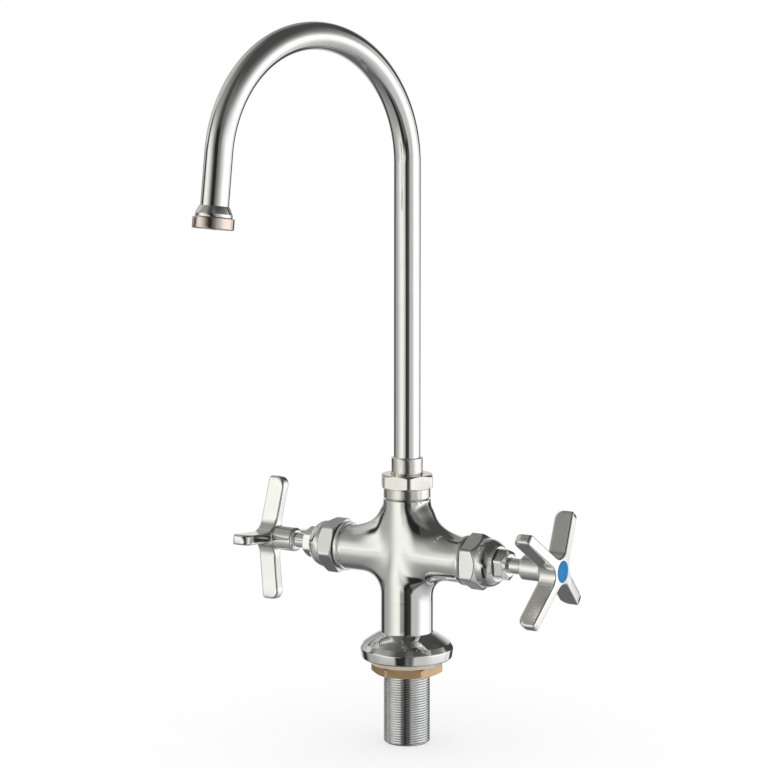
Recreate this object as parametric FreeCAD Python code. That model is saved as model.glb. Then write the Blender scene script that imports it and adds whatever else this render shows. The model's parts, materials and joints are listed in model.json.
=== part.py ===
import FreeCAD, Part
import math
import os

# A deck-mounted mixing faucet with one mounting hole: a hollow cross-shaped body on a
# threaded shank, a swinging gooseneck spout and two rising-stem valves with four-arm
# handles. Millimetres, +Z up. The origin is on the column's axis in the plane of the
# flange's contact rim. +X is the cold valve's axis, and -Y faces the user.

os.makedirs("parts", exist_ok=True)

# Fits and clearances
RUNNING_FIT = 0.05        # radial gap round a piece that turns or slides in a bore
STATIC_FIT = 0.02         # radial gap of soldered, screwed and pressed joints
FREE_GAP = 0.3            # gap between faces that pass each other without touching
SEAM_WIDTH = 0.01         # an edge narrower than this is a seam, not an outline

# Shares used by several pieces
PITCH_RADIUS_DROP = 0.325     # from a thread's crests to its pitch radius, of its pitch
HEX_FACE_SHARE = 0.985    # radius of a hexagon's turned end face, of its half flats

# Threaded shank under the deck
SHANK_R = 14.0            # crests of an M28 x 1.5 thread
THREAD_PITCH = 1.5
SHANK_LENGTH = 52.0       # below the deck plane
SHANK_SOCKET_DEPTH = 10.0
SHANK_END_CHAMFER = 1.0
SUPPLY_R = 4.0
INLET_R = 4.55            # minor radius of the M10 x 1 inlet threads
INLET_LENGTH = 12.0
INLET_WEB = 3.9           # metal between the two inlets

# Washer and nut under the deck
WASHER_TOP_R = 24.6
WASHER_TAPER = 3.1        # how much smaller its lower radius is
WASHER_HEIGHT = 3.4       # below the deck plane
NUT_FLATS = 38.0
NUT_HEIGHT = 5.9
NUT_CHAMFER_RISE = 1.0
NUT_TURN = 25.8           # degrees from +X to a corner, as tightened

# Body casting: flange and column
RECESS_DEPTH = 0.6        # recess of the underside that takes the washer
RIM_LAND = 1.7            # width of the flat ring that rests on the deck
RIM_BEVEL = 0.8
RIM_TOP = 6.2
RIM_FLARE = 0.5           # how much wider the rim is at its top
SHOULDER_INSET = 1.9      # from the rim's top to where its round ends and the cone starts
SHOULDER_RISE = 2.8
RIM_BELLY = 0.45          # how far the rounded shoulder stands out from its chord
CONE_BELLY = 0.65         # and the cone from its own
CONE_TOP_Z = 14.3
COLUMN_R = 15.5
AXIS_Z = 64.0             # height of the valves' common axis
CROSSING_SPAN = 22.0      # below and above the axis the column keeps its radius
CROSSING_SHARE = 0.3      # share of the step from neck to column left at the axis
CROSS_FILLET = 19.0
NECK_RISE = 33.3          # from the axis to the neck's shoulder

# Body casting: valve chambers and arms
SEAT_R = 6.0              # thread of the renewable seat
SEAT_DEPTH = 7.5
SEAT_LIP = 1.4            # how far the seat's flange covers its bore
CHAMBER_CLEARANCE = 1.6   # from the seat's flange to the chamber's wall
CHAMBER_FLOOR = 21.0      # distance of the seat's face from the column's axis
CHAMBER_STEP = 2.0        # from the chamber to the bonnet's thread
ARM_WALL = 2.8
ARM_END = 44.5            # distance of each arm's end face from the column's axis
BEAD_RISE = 1.2
BEAD_WIDTH = 3.0
BEAD_ROUND = 0.8

# Waterways of the body
MIXING_R = 7.2
MIXING_DROP = 10.0        # floor of the mixing chamber below the axis
SUPPLY_TURN_DROP = 26.0   # where each vertical supply bore turns to its valve
FEED_R = 3.4
FEED_PAST = 5.0           # how far past the chamber's floor the slanting bore ends
FEED_DROP = 6.0           # and how far below the axis

# Spout joint on top of the neck
SPIGOT_BORE_R = 6.5
SPIGOT_WALL = 2.5
SPIGOT_LENGTH = 20.0
SLEEVE_WALL = 1.4
SLEEVE_FLANGE_T = 2.0
COLLAR_SHOWING = 10.0     # sleeve above the swivel nut
BEARING_RING_T = 1.0
BEARING_RING_WIDTH = 1.4
JOINT_THREAD_RISE = 0.9   # from the bearing rings to the joint's thread
JOINT_LENGTH = 7.7
NECK_STEP = 1.2
ORING_SECTION_R = 0.75
ORING_OFFSETS = (5.0, 12.0)   # below the top of the joint
SKIRT_WALL = 2.1
SKIRT_HEIGHT = 6.4
SKIRT_BEVEL = 0.9
SWIVEL_LAND = 0.9         # from the skirt to the hexagon's flats
SWIVEL_CAP_T = 3.5
SWIVEL_CHAMFER_RISE = 1.3
SWIVEL_TURN = 9.5         # degrees from +X to a corner, as tightened

# Gooseneck
TUBE_R = 8.0
TUBE_WALL = 0.8
BEND_START_Z = 298.0
BEND_R = 73.4
BEND_SHORTFALL = 6.5      # degrees by which the bend stops short of a half turn
OUTLET_STRAIGHT = 29.2    # from the end of the bend to the outlet adapter
SPOUT_AZIMUTH = 257.4     # degrees from +X; 270 is straight ahead

# Outlet fittings, measured along the outlet's axis
ADAPTER_LIP = 0.5         # edge of the cone round the tube
ADAPTER_FLARE = 1.9       # and how far the cone widens from there
ADAPTER_CONE = 4.4
ADAPTER_LENGTH = 6.2
ADAPTER_SOCKET = 4.0
ADAPTER_STEP = 0.5        # from the cone's end to the thread that carries the ring
ADAPTER_SPIGOT = 3.0
AERATOR_R = 8.0
AERATOR_BODY = 4.0
AERATOR_FLANGE_T = 1.2
AERATOR_NOSE = 1.0
AERATOR_HOLE_R = 0.7
AERATOR_RINGS = ((0, 1), (2.6, 6), (5.2, 12))   # radius and number of jet holes
AERATOR_WASHER_T = 1.0
OUTLET_RING_WALL = 1.8
OUTLET_RING_LENGTH = 6.6
OUTLET_MOUTH_GAP = 0.7    # from the aerator's nose to the ring's mouth
OUTLET_RING_CHAMFER = 0.5

# Valve seat, disc and jumper, measured along the valve's axis
SEAT_FLANGE_T = 1.4
SEAT_CROWN_R = 4.9
SEAT_CROWN_WIDTH = 1.0
SEAT_CROWN_T = 0.8
SEAT_BORE_R = 3.6
DISC_OVERLAP = 1.2        # how far the disc reaches past the seat's crown
DISC_T = 3.0
DISC_HOLE_R = 1.6
JUMPER_RIM = 0.6
JUMPER_RIM_DEPTH = 1.6
JUMPER_PLATE_T = 1.8
JUMPER_PEG_SHORT = 0.6
JUMPER_STEM_R = 2.4
JUMPER_STEM = 8.0
VALVE_LIFT = 3.0          # travel from shut to full open

# Spindle
NOSE_WALL = 1.8           # round the socket that takes the jumper's stem
NOSE_LENGTH = 3.0
SCREW_R = 6.0             # coarse double-start thread with a lead of 2
SCREW_LENGTH = 14.5
STEM_R = 4.6
DRIVE_STEP = 0.6          # from the stem to the corners of the square that drives it
DRIVE_FLAT_SHARE = 0.8
DRIVE_LENGTH = 11.8
JUMPER_SOCKET_SPARE = 2.0
SPINDLE_TAP_DEPTH = 9.0

# Bonnet and packing
JUMPER_CLEARANCE = 0.5    # from the fully lifted jumper to the bonnet
BONNET_WASHER_T = 1.0
BONNET_FLATS = 30.0
BONNET_HEX = 10.3
COLD_BONNET_TURN = 0.0    # degrees by which each bonnet's flats are turned about the axis
HOT_BONNET_TURN = 18.3
BONNET_BASE_RISE = 0.6
BONNET_CHAMFER_RISE = 1.6
DOME_INSET = 0.7          # from the flats to the foot of the dome
DOME_TOP_R = 10.5
DOME_HEIGHT = 9.0
DOME_BELLY = 1.4
PACKING_WIDTH = 1.3
PACKING_WALL = 1.1
PACKING_NECK = 5.0
PACKING_DEPTH = 4.3
PACKING_T = 3.1
GLAND_T = 1.6
PACKING_NUT_WALL = 1.5
PACKING_NUT_TOP_T = 2.0
PACKING_NUT_TURN = 9.0    # degrees by which its flats are turned about the axis
PACKING_NUT_CHAMFER_RISE = 0.9

# Handle
STEM_SHOWING = 8.2        # stem between the packing nut and the hub
HUB_WALL = 2.8
HUB_TAPER = 1.6
HUB_CHAMFER = 1.2
HUB_COUNTERBORE = 0.8
HUB_LENGTH = 14.6
ARM_DEPTH = 12.0
ARM_THICKNESS = 6.4
ARM_TIP_R = 38.5
ARM_SETBACK = 4.8
ARM_FLAT_R = 9.0          # radius of the flat middle of the handle's face
ARM_CORNER_R = 8.5        # fillet between neighbouring arms
ARM_BACK_ROUND = 6.0
ARM_FRONT_ROUND = 1.6
COLD_HANDLE_TURN = 52.5   # degrees at which each handle stands
HOT_HANDLE_TURN = 6.0
BUTTON_R = 6.25
BUTTON_T = 2.2
BUTTON_SKIRT_STEP = 0.75
BUTTON_SKIRT_WALL = 1.0
BUTTON_SKIRT = 2.6
BUTTON_RECESS = 5.6
HANDLE_SCREW_R = 2.5
HANDLE_SCREW_HOLE_GAP = 0.2
HANDLE_SCREW_HEAD_R = 4.0
HANDLE_SCREW_HEAD_T = 2.4
HANDLE_SCREW_END_GAP = 1.0
HANDLE_SCREW_FLATS = 4.0
HANDLE_SCREW_HEX_DEPTH = 1.4

V = FreeCAD.Vector
ORIGIN = V(0, 0, 0)
UP = V(0, 0, 1)

# Radii that follow from the sizes above
SHANK_PITCH_R = SHANK_R - PITCH_RADIUS_DROP * THREAD_PITCH
SUPPLY_OFFSET = INLET_R + INLET_WEB / 2
WASHER_LOW_R = WASHER_TOP_R - WASHER_TAPER
RECESS_R = WASHER_TOP_R + FREE_GAP
RIM_LOW_R = RECESS_R + RIM_LAND
FLANGE_R = RIM_LOW_R + RIM_BEVEL
RIM_TOP_R = FLANGE_R + RIM_FLARE
SHOULDER_R = RIM_TOP_R - SHOULDER_INSET
SPIGOT_R = SPIGOT_BORE_R + SPIGOT_WALL
SLEEVE_R = TUBE_R + SLEEVE_WALL
BEARING_RING_BORE_R = SLEEVE_R + FREE_GAP
BEARING_RING_R = BEARING_RING_BORE_R + BEARING_RING_WIDTH
JOINT_THREAD_R = BEARING_RING_R + JOINT_THREAD_RISE
NECK_R = JOINT_THREAD_R + NECK_STEP
SKIRT_R = JOINT_THREAD_R + SKIRT_WALL
SWIVEL_FLATS = 2 * (SKIRT_R + SWIVEL_LAND)
CROSSING_R = NECK_R + CROSSING_SHARE * (COLUMN_R - NECK_R)
SEAT_FLANGE_R = SEAT_R + SEAT_LIP
CHAMBER_R = SEAT_FLANGE_R + CHAMBER_CLEARANCE
BONNET_THREAD_R = CHAMBER_R + CHAMBER_STEP
ARM_R = BONNET_THREAD_R + ARM_WALL
BEAD_R = ARM_R + BEAD_RISE
ADAPTER_LIP_R = TUBE_R + ADAPTER_LIP
ADAPTER_R = ADAPTER_LIP_R + ADAPTER_FLARE
ADAPTER_SPIGOT_R = ADAPTER_R - ADAPTER_STEP
OUTLET_RING_R = ADAPTER_SPIGOT_R + OUTLET_RING_WALL
OUTLET_MOUTH_R = AERATOR_R + OUTLET_MOUTH_GAP
DISC_R = SEAT_CROWN_R + SEAT_CROWN_WIDTH / 2 + DISC_OVERLAP
NOSE_R = JUMPER_STEM_R + NOSE_WALL
DRIVE_CORNER_R = STEM_R - DRIVE_STEP
DRIVE_FLATS = 2 * DRIVE_CORNER_R * DRIVE_FLAT_SHARE
DOME_R = BONNET_FLATS / 2 - DOME_INSET
PACKING_BOX_R = STEM_R + PACKING_WIDTH
PACKING_NECK_R = PACKING_BOX_R + PACKING_WALL
PACKING_NUT_FLATS = 2 * (PACKING_NECK_R + PACKING_NUT_WALL)
HUB_R = STEM_R + HUB_WALL
HUB_END_R = HUB_R - HUB_TAPER
BUTTON_SKIRT_R = BUTTON_R - BUTTON_SKIRT_STEP

# Heights along the column
WASHER_TOP_Z = RECESS_DEPTH
NUT_TOP_Z = -WASHER_HEIGHT
NUT_LOW_Z = NUT_TOP_Z - NUT_HEIGHT
SHOULDER_Z = RIM_TOP + SHOULDER_RISE
COLUMN_TOP_Z = AXIS_Z - CROSSING_SPAN
NECK_START_Z = AXIS_Z + CROSSING_SPAN
NECK_TOP_Z = AXIS_Z + NECK_RISE
MIXING_FLOOR_Z = AXIS_Z - MIXING_DROP
SUPPLY_TURN_Z = AXIS_Z - SUPPLY_TURN_DROP
JOINT_TOP_Z = NECK_TOP_Z + JOINT_LENGTH
SPIGOT_LOW_Z = JOINT_TOP_Z - SPIGOT_LENGTH
FLANGE_RING_Z = JOINT_TOP_Z + BEARING_RING_T
SLEEVE_SHOULDER_Z = FLANGE_RING_Z + SLEEVE_FLANGE_T
SWIVEL_SHOULDER_Z = SLEEVE_SHOULDER_Z + BEARING_RING_T
SKIRT_LOW_Z = NECK_TOP_Z + FREE_GAP
SWIVEL_HEX_LOW_Z = SKIRT_LOW_Z + SKIRT_HEIGHT
SWIVEL_TOP_Z = SWIVEL_SHOULDER_Z + SWIVEL_CAP_T
SLEEVE_TOP_Z = SWIVEL_TOP_Z + COLLAR_SHOWING
BEND_SWEEP = 180.0 - BEND_SHORTFALL

# Distances along a valve's axis from the column's axis
SEAT_FACE = CHAMBER_FLOOR + SEAT_FLANGE_T + SEAT_CROWN_T
DISC_BACK = SEAT_FACE + DISC_T
JUMPER_BACK = DISC_BACK + JUMPER_PLATE_T
SCREW_LOW = JUMPER_BACK + NOSE_LENGTH
SCREW_TOP = SCREW_LOW + SCREW_LENGTH
BONNET_LOW = JUMPER_BACK + VALVE_LIFT + JUMPER_CLEARANCE
CHAMBER_END = BONNET_LOW - FREE_GAP
BONNET_SEAT = ARM_END + BONNET_WASHER_T
BONNET_HEX_END = BONNET_SEAT + BONNET_HEX
DOME_END = BONNET_HEX_END + DOME_HEIGHT
PACKING_NECK_END = DOME_END + PACKING_NECK
PACKING_FLOOR = PACKING_NECK_END - PACKING_DEPTH
GLAND_FACE = PACKING_FLOOR + PACKING_T
GLAND_BACK = GLAND_FACE + GLAND_T
PACKING_NUT_END = GLAND_BACK + PACKING_NUT_TOP_T
HUB_START = PACKING_NUT_END + STEM_SHOWING
DRIVE_START = HUB_START + HUB_COUNTERBORE
DRIVE_END = DRIVE_START + DRIVE_LENGTH
ARM_BACK = HUB_START + HUB_LENGTH
HANDLE_FACE = ARM_BACK + ARM_DEPTH
RECESS_FLOOR = HANDLE_FACE - BUTTON_RECESS
HANDLE_SCREW_SEAT = RECESS_FLOOR - HANDLE_SCREW_HEAD_T
HANDLE_SCREW_LOW = DRIVE_END - SPINDLE_TAP_DEPTH + HANDLE_SCREW_END_GAP

SIDES = {"cold": (1, COLD_HANDLE_TURN, COLD_BONNET_TURN),
         "hot": (-1, HOT_HANDLE_TURN, HOT_BONNET_TURN)}


def revolve(outline):
    """Solid of revolution about +Z of a closed outline of (radius, height) points."""
    points = [V(r, 0, z) for r, z in outline]
    face = Part.Face(Part.makePolygon(points + points[:1]))
    return face.revolve(ORIGIN, UP, 360)


def cylinder(radius, low, high):
    return Part.makeCylinder(radius, high - low, V(0, 0, low))


def tube(outer_r, inner_r, low, high):
    return cylinder(outer_r, low, high).cut(cylinder(inner_r, low, high))


def hexagon(flats, low, high, turn=0.0):
    """Hexagonal prism along +Z with a corner at `turn` degrees from +X."""
    corner_r = flats / math.sqrt(3)
    corners = []
    for step in range(7):
        angle = math.radians(60 * step + turn)
        corners.append(V(corner_r * math.cos(angle), corner_r * math.sin(angle), low))
    return Part.Face(Part.makePolygon(corners)).extrude(V(0, 0, high - low))


def chamfered_hexagon(flats, low, high, rises, turn=0.0):
    """Hexagon whose corners are turned off at the low and the high end by two rises."""
    corner_r = flats / math.sqrt(3)
    face_r = flats / 2 * HEX_FACE_SHARE
    low_rise, high_rise = rises
    envelope = revolve([(0, low), (face_r, low), (corner_r, low + low_rise),
                        (corner_r, high - high_rise), (face_r, high), (0, high)])
    return hexagon(flats, low, high, turn).common(envelope)


def arc_edge(start, end, belly):
    """Circular arc that stands out by `belly` to the left of the chord, in the XZ plane."""
    chord = end - start
    outward = V(-chord.z, 0, chord.x).normalize()
    middle = (start + end) * 0.5 + outward * belly
    return Part.Arc(start, middle, end).toShape()


def along_valve(shape, side):
    """Turns a piece built along +Z into the cold (+1) or the hot (-1) valve's axis."""
    placed = shape.copy()
    placed.rotate(ORIGIN, V(0, 1, 0), 90 * side)
    placed.translate(V(0, 0, AXIS_Z))
    return placed


def export(shape, name):
    shape.exportStep("parts/" + name + ".step")


# Body casting

def column_profile():
    """Half outline of flange, column and neck, from the deck plane up."""
    rim_low = V(RIM_LOW_R, 0, 0)
    rim_start = V(FLANGE_R, 0, RIM_BEVEL)
    rim_end = V(RIM_TOP_R, 0, RIM_TOP)
    shoulder = V(SHOULDER_R, 0, SHOULDER_Z)
    foot = V(COLUMN_R, 0, CONE_TOP_Z)
    curve = Part.BSplineCurve()
    curve.interpolate(Points=[V(COLUMN_R, 0, COLUMN_TOP_Z), V(CROSSING_R, 0, AXIS_Z),
                              V(NECK_R, 0, NECK_START_Z)],
                      InitialTangent=UP, FinalTangent=UP)
    neck_top = V(NECK_R, 0, NECK_TOP_Z)
    edges = [Part.makeLine(ORIGIN, rim_low),
             Part.makeLine(rim_low, rim_start),
             Part.makeLine(rim_start, rim_end),
             arc_edge(rim_end, shoulder, -RIM_BELLY),
             arc_edge(shoulder, foot, -CONE_BELLY),
             Part.makeLine(foot, V(COLUMN_R, 0, COLUMN_TOP_Z)),
             curve.toShape(),
             Part.makeLine(V(NECK_R, 0, NECK_START_Z), neck_top),
             Part.makeLine(neck_top, V(0, 0, NECK_TOP_Z)),
             Part.makeLine(V(0, 0, NECK_TOP_Z), ORIGIN)]
    return Part.Wire(edges)


def crossing_edges(shape):
    """Edges where the arms run into the column."""
    found = []
    for edge in shape.Edges:
        middle = edge.CenterOfMass
        box = edge.BoundBox
        near_axis = max(abs(box.XMin), abs(box.XMax)) < COLUMN_R + FREE_GAP
        level = box.ZMax < NECK_START_Z and box.ZMin > COLUMN_TOP_Z
        off_middle = abs(middle.x) > FREE_GAP
        seam = box.XLength < SEAM_WIDTH and box.YLength < SEAM_WIDTH
        if near_axis and level and off_middle and not seam:
            found.append(edge)
    return found


def body():
    column = Part.Face(column_profile()).revolve(ORIGIN, UP, 360)
    arms = cylinder(ARM_R, -ARM_END, ARM_END)
    arms.rotate(ORIGIN, V(0, 1, 0), 90)
    arms.translate(V(0, 0, AXIS_Z))
    cross = column.fuse(arms)
    cross = cross.makeFillet(CROSS_FILLET, crossing_edges(cross))
    bead = cylinder(BEAD_R, ARM_END - BEAD_WIDTH, ARM_END)
    rims = [edge for edge in bead.Edges if edge.Curve.TypeId.endswith("Circle")]
    bead = bead.makeFillet(BEAD_ROUND, rims)
    casting = cross.fuse([along_valve(bead, side) for side, _, _ in SIDES.values()])
    spigot = cylinder(JOINT_THREAD_R - STATIC_FIT, NECK_TOP_Z, JOINT_TOP_Z)
    casting = casting.fuse(spigot)
    return casting.cut(waterways()).removeSplitter()


def waterways():
    """Everything that is bored or cored out of the casting."""
    voids = [cylinder(RECESS_R, 0, RECESS_DEPTH),
             cylinder(SHANK_R + STATIC_FIT, 0, SHANK_SOCKET_DEPTH),
             cylinder(MIXING_R, MIXING_FLOOR_Z, SPIGOT_LOW_Z),
             cylinder(SPIGOT_R + RUNNING_FIT, SPIGOT_LOW_Z, JOINT_TOP_Z)]
    for side, _, _ in SIDES.values():
        riser = cylinder(SUPPLY_R, SHANK_SOCKET_DEPTH, SUPPLY_TURN_Z)
        riser.translate(V(side * SUPPLY_OFFSET, 0, 0))
        turn = V(side * SUPPLY_OFFSET, 0, SUPPLY_TURN_Z)
        feed_end = V(side * (CHAMBER_FLOOR + FEED_PAST), 0, AXIS_Z - FEED_DROP)
        run = feed_end - turn
        feed = Part.makeCylinder(FEED_R, run.Length, turn, run)
        elbow = Part.makeSphere(SUPPLY_R, turn)
        seat_bore = cylinder(SEAT_R + STATIC_FIT, CHAMBER_FLOOR - SEAT_DEPTH, CHAMBER_FLOOR)
        port = cylinder(SEAT_BORE_R, 0, CHAMBER_FLOOR)
        chamber = cylinder(CHAMBER_R, CHAMBER_FLOOR, CHAMBER_END)
        thread = cylinder(BONNET_THREAD_R, CHAMBER_END, ARM_END)
        bores = [along_valve(bore, side) for bore in (seat_bore, port, chamber, thread)]
        voids += [riser, feed, elbow] + bores
    return voids[0].fuse(voids[1:])


# Deck fixing

def shank():
    """Bar at the thread's crests, but at its pitch radius where the nut is engaged."""
    free_end = NUT_LOW_Z - FREE_GAP
    bar = revolve([(0, SHANK_SOCKET_DEPTH), (0, -SHANK_LENGTH),
                   (SHANK_R - SHANK_END_CHAMFER, -SHANK_LENGTH),
                   (SHANK_R, SHANK_END_CHAMFER - SHANK_LENGTH), (SHANK_R, free_end),
                   (SHANK_PITCH_R, free_end), (SHANK_PITCH_R, NUT_TOP_Z),
                   (SHANK_R, NUT_TOP_Z), (SHANK_R, SHANK_SOCKET_DEPTH)])
    for side, _, _ in SIDES.values():
        bore = cylinder(SUPPLY_R, INLET_LENGTH - SHANK_LENGTH, SHANK_SOCKET_DEPTH)
        inlet = cylinder(INLET_R, -SHANK_LENGTH, INLET_LENGTH - SHANK_LENGTH)
        for hole in (bore, inlet):
            hole.translate(V(side * SUPPLY_OFFSET, 0, 0))
            bar = bar.cut(hole)
    return bar


def deck_washer():
    bore_r = SHANK_R + FREE_GAP
    return revolve([(bore_r, WASHER_TOP_Z), (bore_r, -WASHER_HEIGHT),
                    (WASHER_LOW_R, -WASHER_HEIGHT), (WASHER_TOP_R, 0),
                    (WASHER_TOP_R, WASHER_TOP_Z)])


def lock_nut():
    rises = (NUT_CHAMFER_RISE, NUT_CHAMFER_RISE)
    nut = chamfered_hexagon(NUT_FLATS, NUT_LOW_Z, NUT_TOP_Z, rises, NUT_TURN)
    return nut.cut(cylinder(SHANK_PITCH_R + STATIC_FIT, NUT_LOW_Z, NUT_TOP_Z))


# Spout joint

def swivel_nut():
    skirt = revolve([(0, SKIRT_LOW_Z), (SKIRT_R - SKIRT_BEVEL, SKIRT_LOW_Z),
                     (SKIRT_R, SKIRT_LOW_Z + SKIRT_BEVEL), (SKIRT_R, SWIVEL_HEX_LOW_Z),
                     (0, SWIVEL_HEX_LOW_Z)])
    hexagonal = chamfered_hexagon(SWIVEL_FLATS, SWIVEL_HEX_LOW_Z, SWIVEL_TOP_Z,
                                  (SWIVEL_CHAMFER_RISE, SWIVEL_CHAMFER_RISE), SWIVEL_TURN)
    nut = skirt.fuse(hexagonal)
    thread = cylinder(JOINT_THREAD_R, SKIRT_LOW_Z, JOINT_TOP_Z)
    cavity = cylinder(BEARING_RING_R + RUNNING_FIT, JOINT_TOP_Z, SWIVEL_SHOULDER_Z)
    throat = cylinder(SLEEVE_R + FREE_GAP, SWIVEL_SHOULDER_Z, SWIVEL_TOP_Z)
    return nut.cut(thread.fuse([cavity, throat])).removeSplitter()


def bearing_rings():
    """The two plastic rings above and below the sleeve's flange."""
    rings = []
    for low in (JOINT_TOP_Z, SLEEVE_SHOULDER_Z):
        rings.append(tube(BEARING_RING_R, BEARING_RING_BORE_R, low, low + BEARING_RING_T))
    return Part.makeCompound(rings)


def oring_heights():
    return [JOINT_TOP_Z - offset for offset in ORING_OFFSETS]


def oring_centre_r():
    """Radius of an O-ring's centreline: its outside just clears the body's bore."""
    return SPIGOT_R - ORING_SECTION_R


def spout_sleeve():
    """Soldered end of the tube: spigot, flange and visible collar in one turning."""
    outline = [(SPIGOT_BORE_R, SPIGOT_LOW_Z + FREE_GAP), (SPIGOT_R, SPIGOT_LOW_Z + FREE_GAP),
               (SPIGOT_R, FLANGE_RING_Z), (BEARING_RING_R, FLANGE_RING_Z),
               (BEARING_RING_R, SLEEVE_SHOULDER_Z), (SLEEVE_R, SLEEVE_SHOULDER_Z),
               (SLEEVE_R, SLEEVE_TOP_Z), (TUBE_R + STATIC_FIT, SLEEVE_TOP_Z),
               (TUBE_R + STATIC_FIT, FLANGE_RING_Z), (SPIGOT_BORE_R, FLANGE_RING_Z)]
    sleeve = revolve(outline)
    for height in oring_heights():
        floor_r = oring_centre_r() - ORING_SECTION_R
        half = ORING_SECTION_R + RUNNING_FIT
        sleeve = sleeve.cut(tube(SPIGOT_R + FREE_GAP, floor_r, height - half, height + half))
    return sleeve


def spout_orings():
    rings = []
    for height in oring_heights():
        rings.append(Part.makeTorus(oring_centre_r(), ORING_SECTION_R, V(0, 0, height)))
    return Part.makeCompound(rings)


# Spout

def turn_spout(shape):
    """Turns a piece built in the XZ plane to the direction in which the spout points."""
    turned = shape.copy()
    turned.rotate(ORIGIN, UP, SPOUT_AZIMUTH)
    return turned


def outlet_placement():
    """Frame at the end of the bend, with +Z along the water's way out."""
    sweep = math.radians(BEND_SWEEP)
    end = V(BEND_R * (1 - math.cos(sweep)), 0, BEND_START_Z + BEND_R * math.sin(sweep))
    direction = V(math.sin(sweep), 0, math.cos(sweep))
    return FreeCAD.Placement(end, FreeCAD.Rotation(UP, direction))


def gooseneck(radius):
    """Solid of one radius along the tube's centreline, from the sleeve to the adapter."""
    riser = cylinder(radius, FLANGE_RING_Z, BEND_START_Z)
    disc = Part.Face(Part.Wire(Part.makeCircle(radius, V(0, 0, BEND_START_Z), UP)))
    bend = disc.revolve(V(BEND_R, 0, BEND_START_Z), V(0, 1, 0), BEND_SWEEP)
    leg = cylinder(radius, 0, OUTLET_STRAIGHT + ADAPTER_SOCKET)
    leg.Placement = outlet_placement()
    return riser.fuse([bend, leg])


def spout_tube():
    return turn_spout(gooseneck(TUBE_R).cut(gooseneck(TUBE_R - TUBE_WALL)).removeSplitter())


def at_outlet(shape):
    placed = shape.copy()
    placed.Placement = outlet_placement()
    return turn_spout(placed)


def outlet_adapter():
    start = OUTLET_STRAIGHT
    cone_end = start + ADAPTER_CONE
    shoulder = start + ADAPTER_LENGTH
    socket_end = start + ADAPTER_SOCKET
    end = shoulder + ADAPTER_SPIGOT
    bore_r = TUBE_R - TUBE_WALL
    pocket_r = AERATOR_R + FREE_GAP
    pocket = end - AERATOR_BODY - FREE_GAP
    return revolve([(TUBE_R + STATIC_FIT, start), (ADAPTER_LIP_R, start), (ADAPTER_R, cone_end),
                    (ADAPTER_R, shoulder), (ADAPTER_SPIGOT_R, shoulder), (ADAPTER_SPIGOT_R, end),
                    (pocket_r, end), (pocket_r, pocket), (bore_r, pocket),
                    (bore_r, socket_end), (TUBE_R + STATIC_FIT, socket_end)])


def aerator_plane():
    """Distance of the aerator washer's lower face along the outlet."""
    return OUTLET_STRAIGHT + ADAPTER_LENGTH + ADAPTER_SPIGOT + AERATOR_WASHER_T


def aerator_washer():
    plane = aerator_plane()
    return tube(ADAPTER_SPIGOT_R - STATIC_FIT, AERATOR_R + RUNNING_FIT,
                plane - AERATOR_WASHER_T, plane)


def aerator():
    """Jet plate with a flange: the flange is clamped between washer and ring."""
    plane = aerator_plane()
    flange_end = plane + AERATOR_FLANGE_T
    end = flange_end + AERATOR_NOSE
    insert = cylinder(AERATOR_R, plane - AERATOR_BODY, end)
    insert = insert.fuse(cylinder(ADAPTER_SPIGOT_R - STATIC_FIT, plane, flange_end))
    for ring_r, count in AERATOR_RINGS:
        for step in range(count):
            hole = cylinder(AERATOR_HOLE_R, plane - AERATOR_BODY, end)
            angle = 2 * math.pi * step / count
            hole.translate(V(ring_r * math.cos(angle), ring_r * math.sin(angle), 0))
            insert = insert.cut(hole)
    return insert


def outlet_ring():
    start = OUTLET_STRAIGHT + ADAPTER_LENGTH
    end = start + OUTLET_RING_LENGTH
    lip = aerator_plane() + AERATOR_FLANGE_T
    chamfer = OUTLET_RING_CHAMFER
    bore_r = ADAPTER_SPIGOT_R + STATIC_FIT
    return revolve([(bore_r, start), (OUTLET_RING_R - chamfer, start),
                    (OUTLET_RING_R, start + chamfer), (OUTLET_RING_R, end - chamfer),
                    (OUTLET_RING_R - chamfer, end), (OUTLET_MOUTH_R, end),
                    (OUTLET_MOUTH_R, lip), (bore_r, lip)])


# Valve pieces, built along +Z with the column's axis at zero

def seat():
    crown_in = SEAT_CROWN_R - SEAT_CROWN_WIDTH / 2
    crown_out = SEAT_CROWN_R + SEAT_CROWN_WIDTH / 2
    flange = CHAMBER_FLOOR + SEAT_FLANGE_T
    low = CHAMBER_FLOOR - SEAT_DEPTH
    return revolve([(SEAT_BORE_R, low), (SEAT_R, low), (SEAT_R, CHAMBER_FLOOR),
                    (SEAT_FLANGE_R, CHAMBER_FLOOR), (SEAT_FLANGE_R, flange),
                    (crown_out, flange), (crown_out, SEAT_FACE), (crown_in, SEAT_FACE),
                    (crown_in, flange), (SEAT_BORE_R, flange)])


def seat_disc():
    return tube(DISC_R, DISC_HOLE_R, SEAT_FACE, DISC_BACK)


def jumper():
    """Carrier of the seat disc: it lifts with the spindle but doesn't turn."""
    rim_in = DISC_R + RUNNING_FIT
    rim_out = rim_in + JUMPER_RIM
    rim_low = DISC_BACK - JUMPER_RIM_DEPTH
    peg_r = DISC_HOLE_R - STATIC_FIT
    peg_low = SEAT_FACE + JUMPER_PEG_SHORT
    stem_end = JUMPER_BACK + JUMPER_STEM
    return revolve([(0, peg_low), (peg_r, peg_low), (peg_r, DISC_BACK), (rim_in, DISC_BACK),
                    (rim_in, rim_low), (rim_out, rim_low), (rim_out, JUMPER_BACK),
                    (JUMPER_STEM_R, JUMPER_BACK), (JUMPER_STEM_R, stem_end), (0, stem_end)])


def drive_square(flats, corner_r, low, high):
    square = Part.makeBox(flats, flats, high - low, V(-flats / 2, -flats / 2, low))
    return square.common(cylinder(corner_r, low, high))


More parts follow.
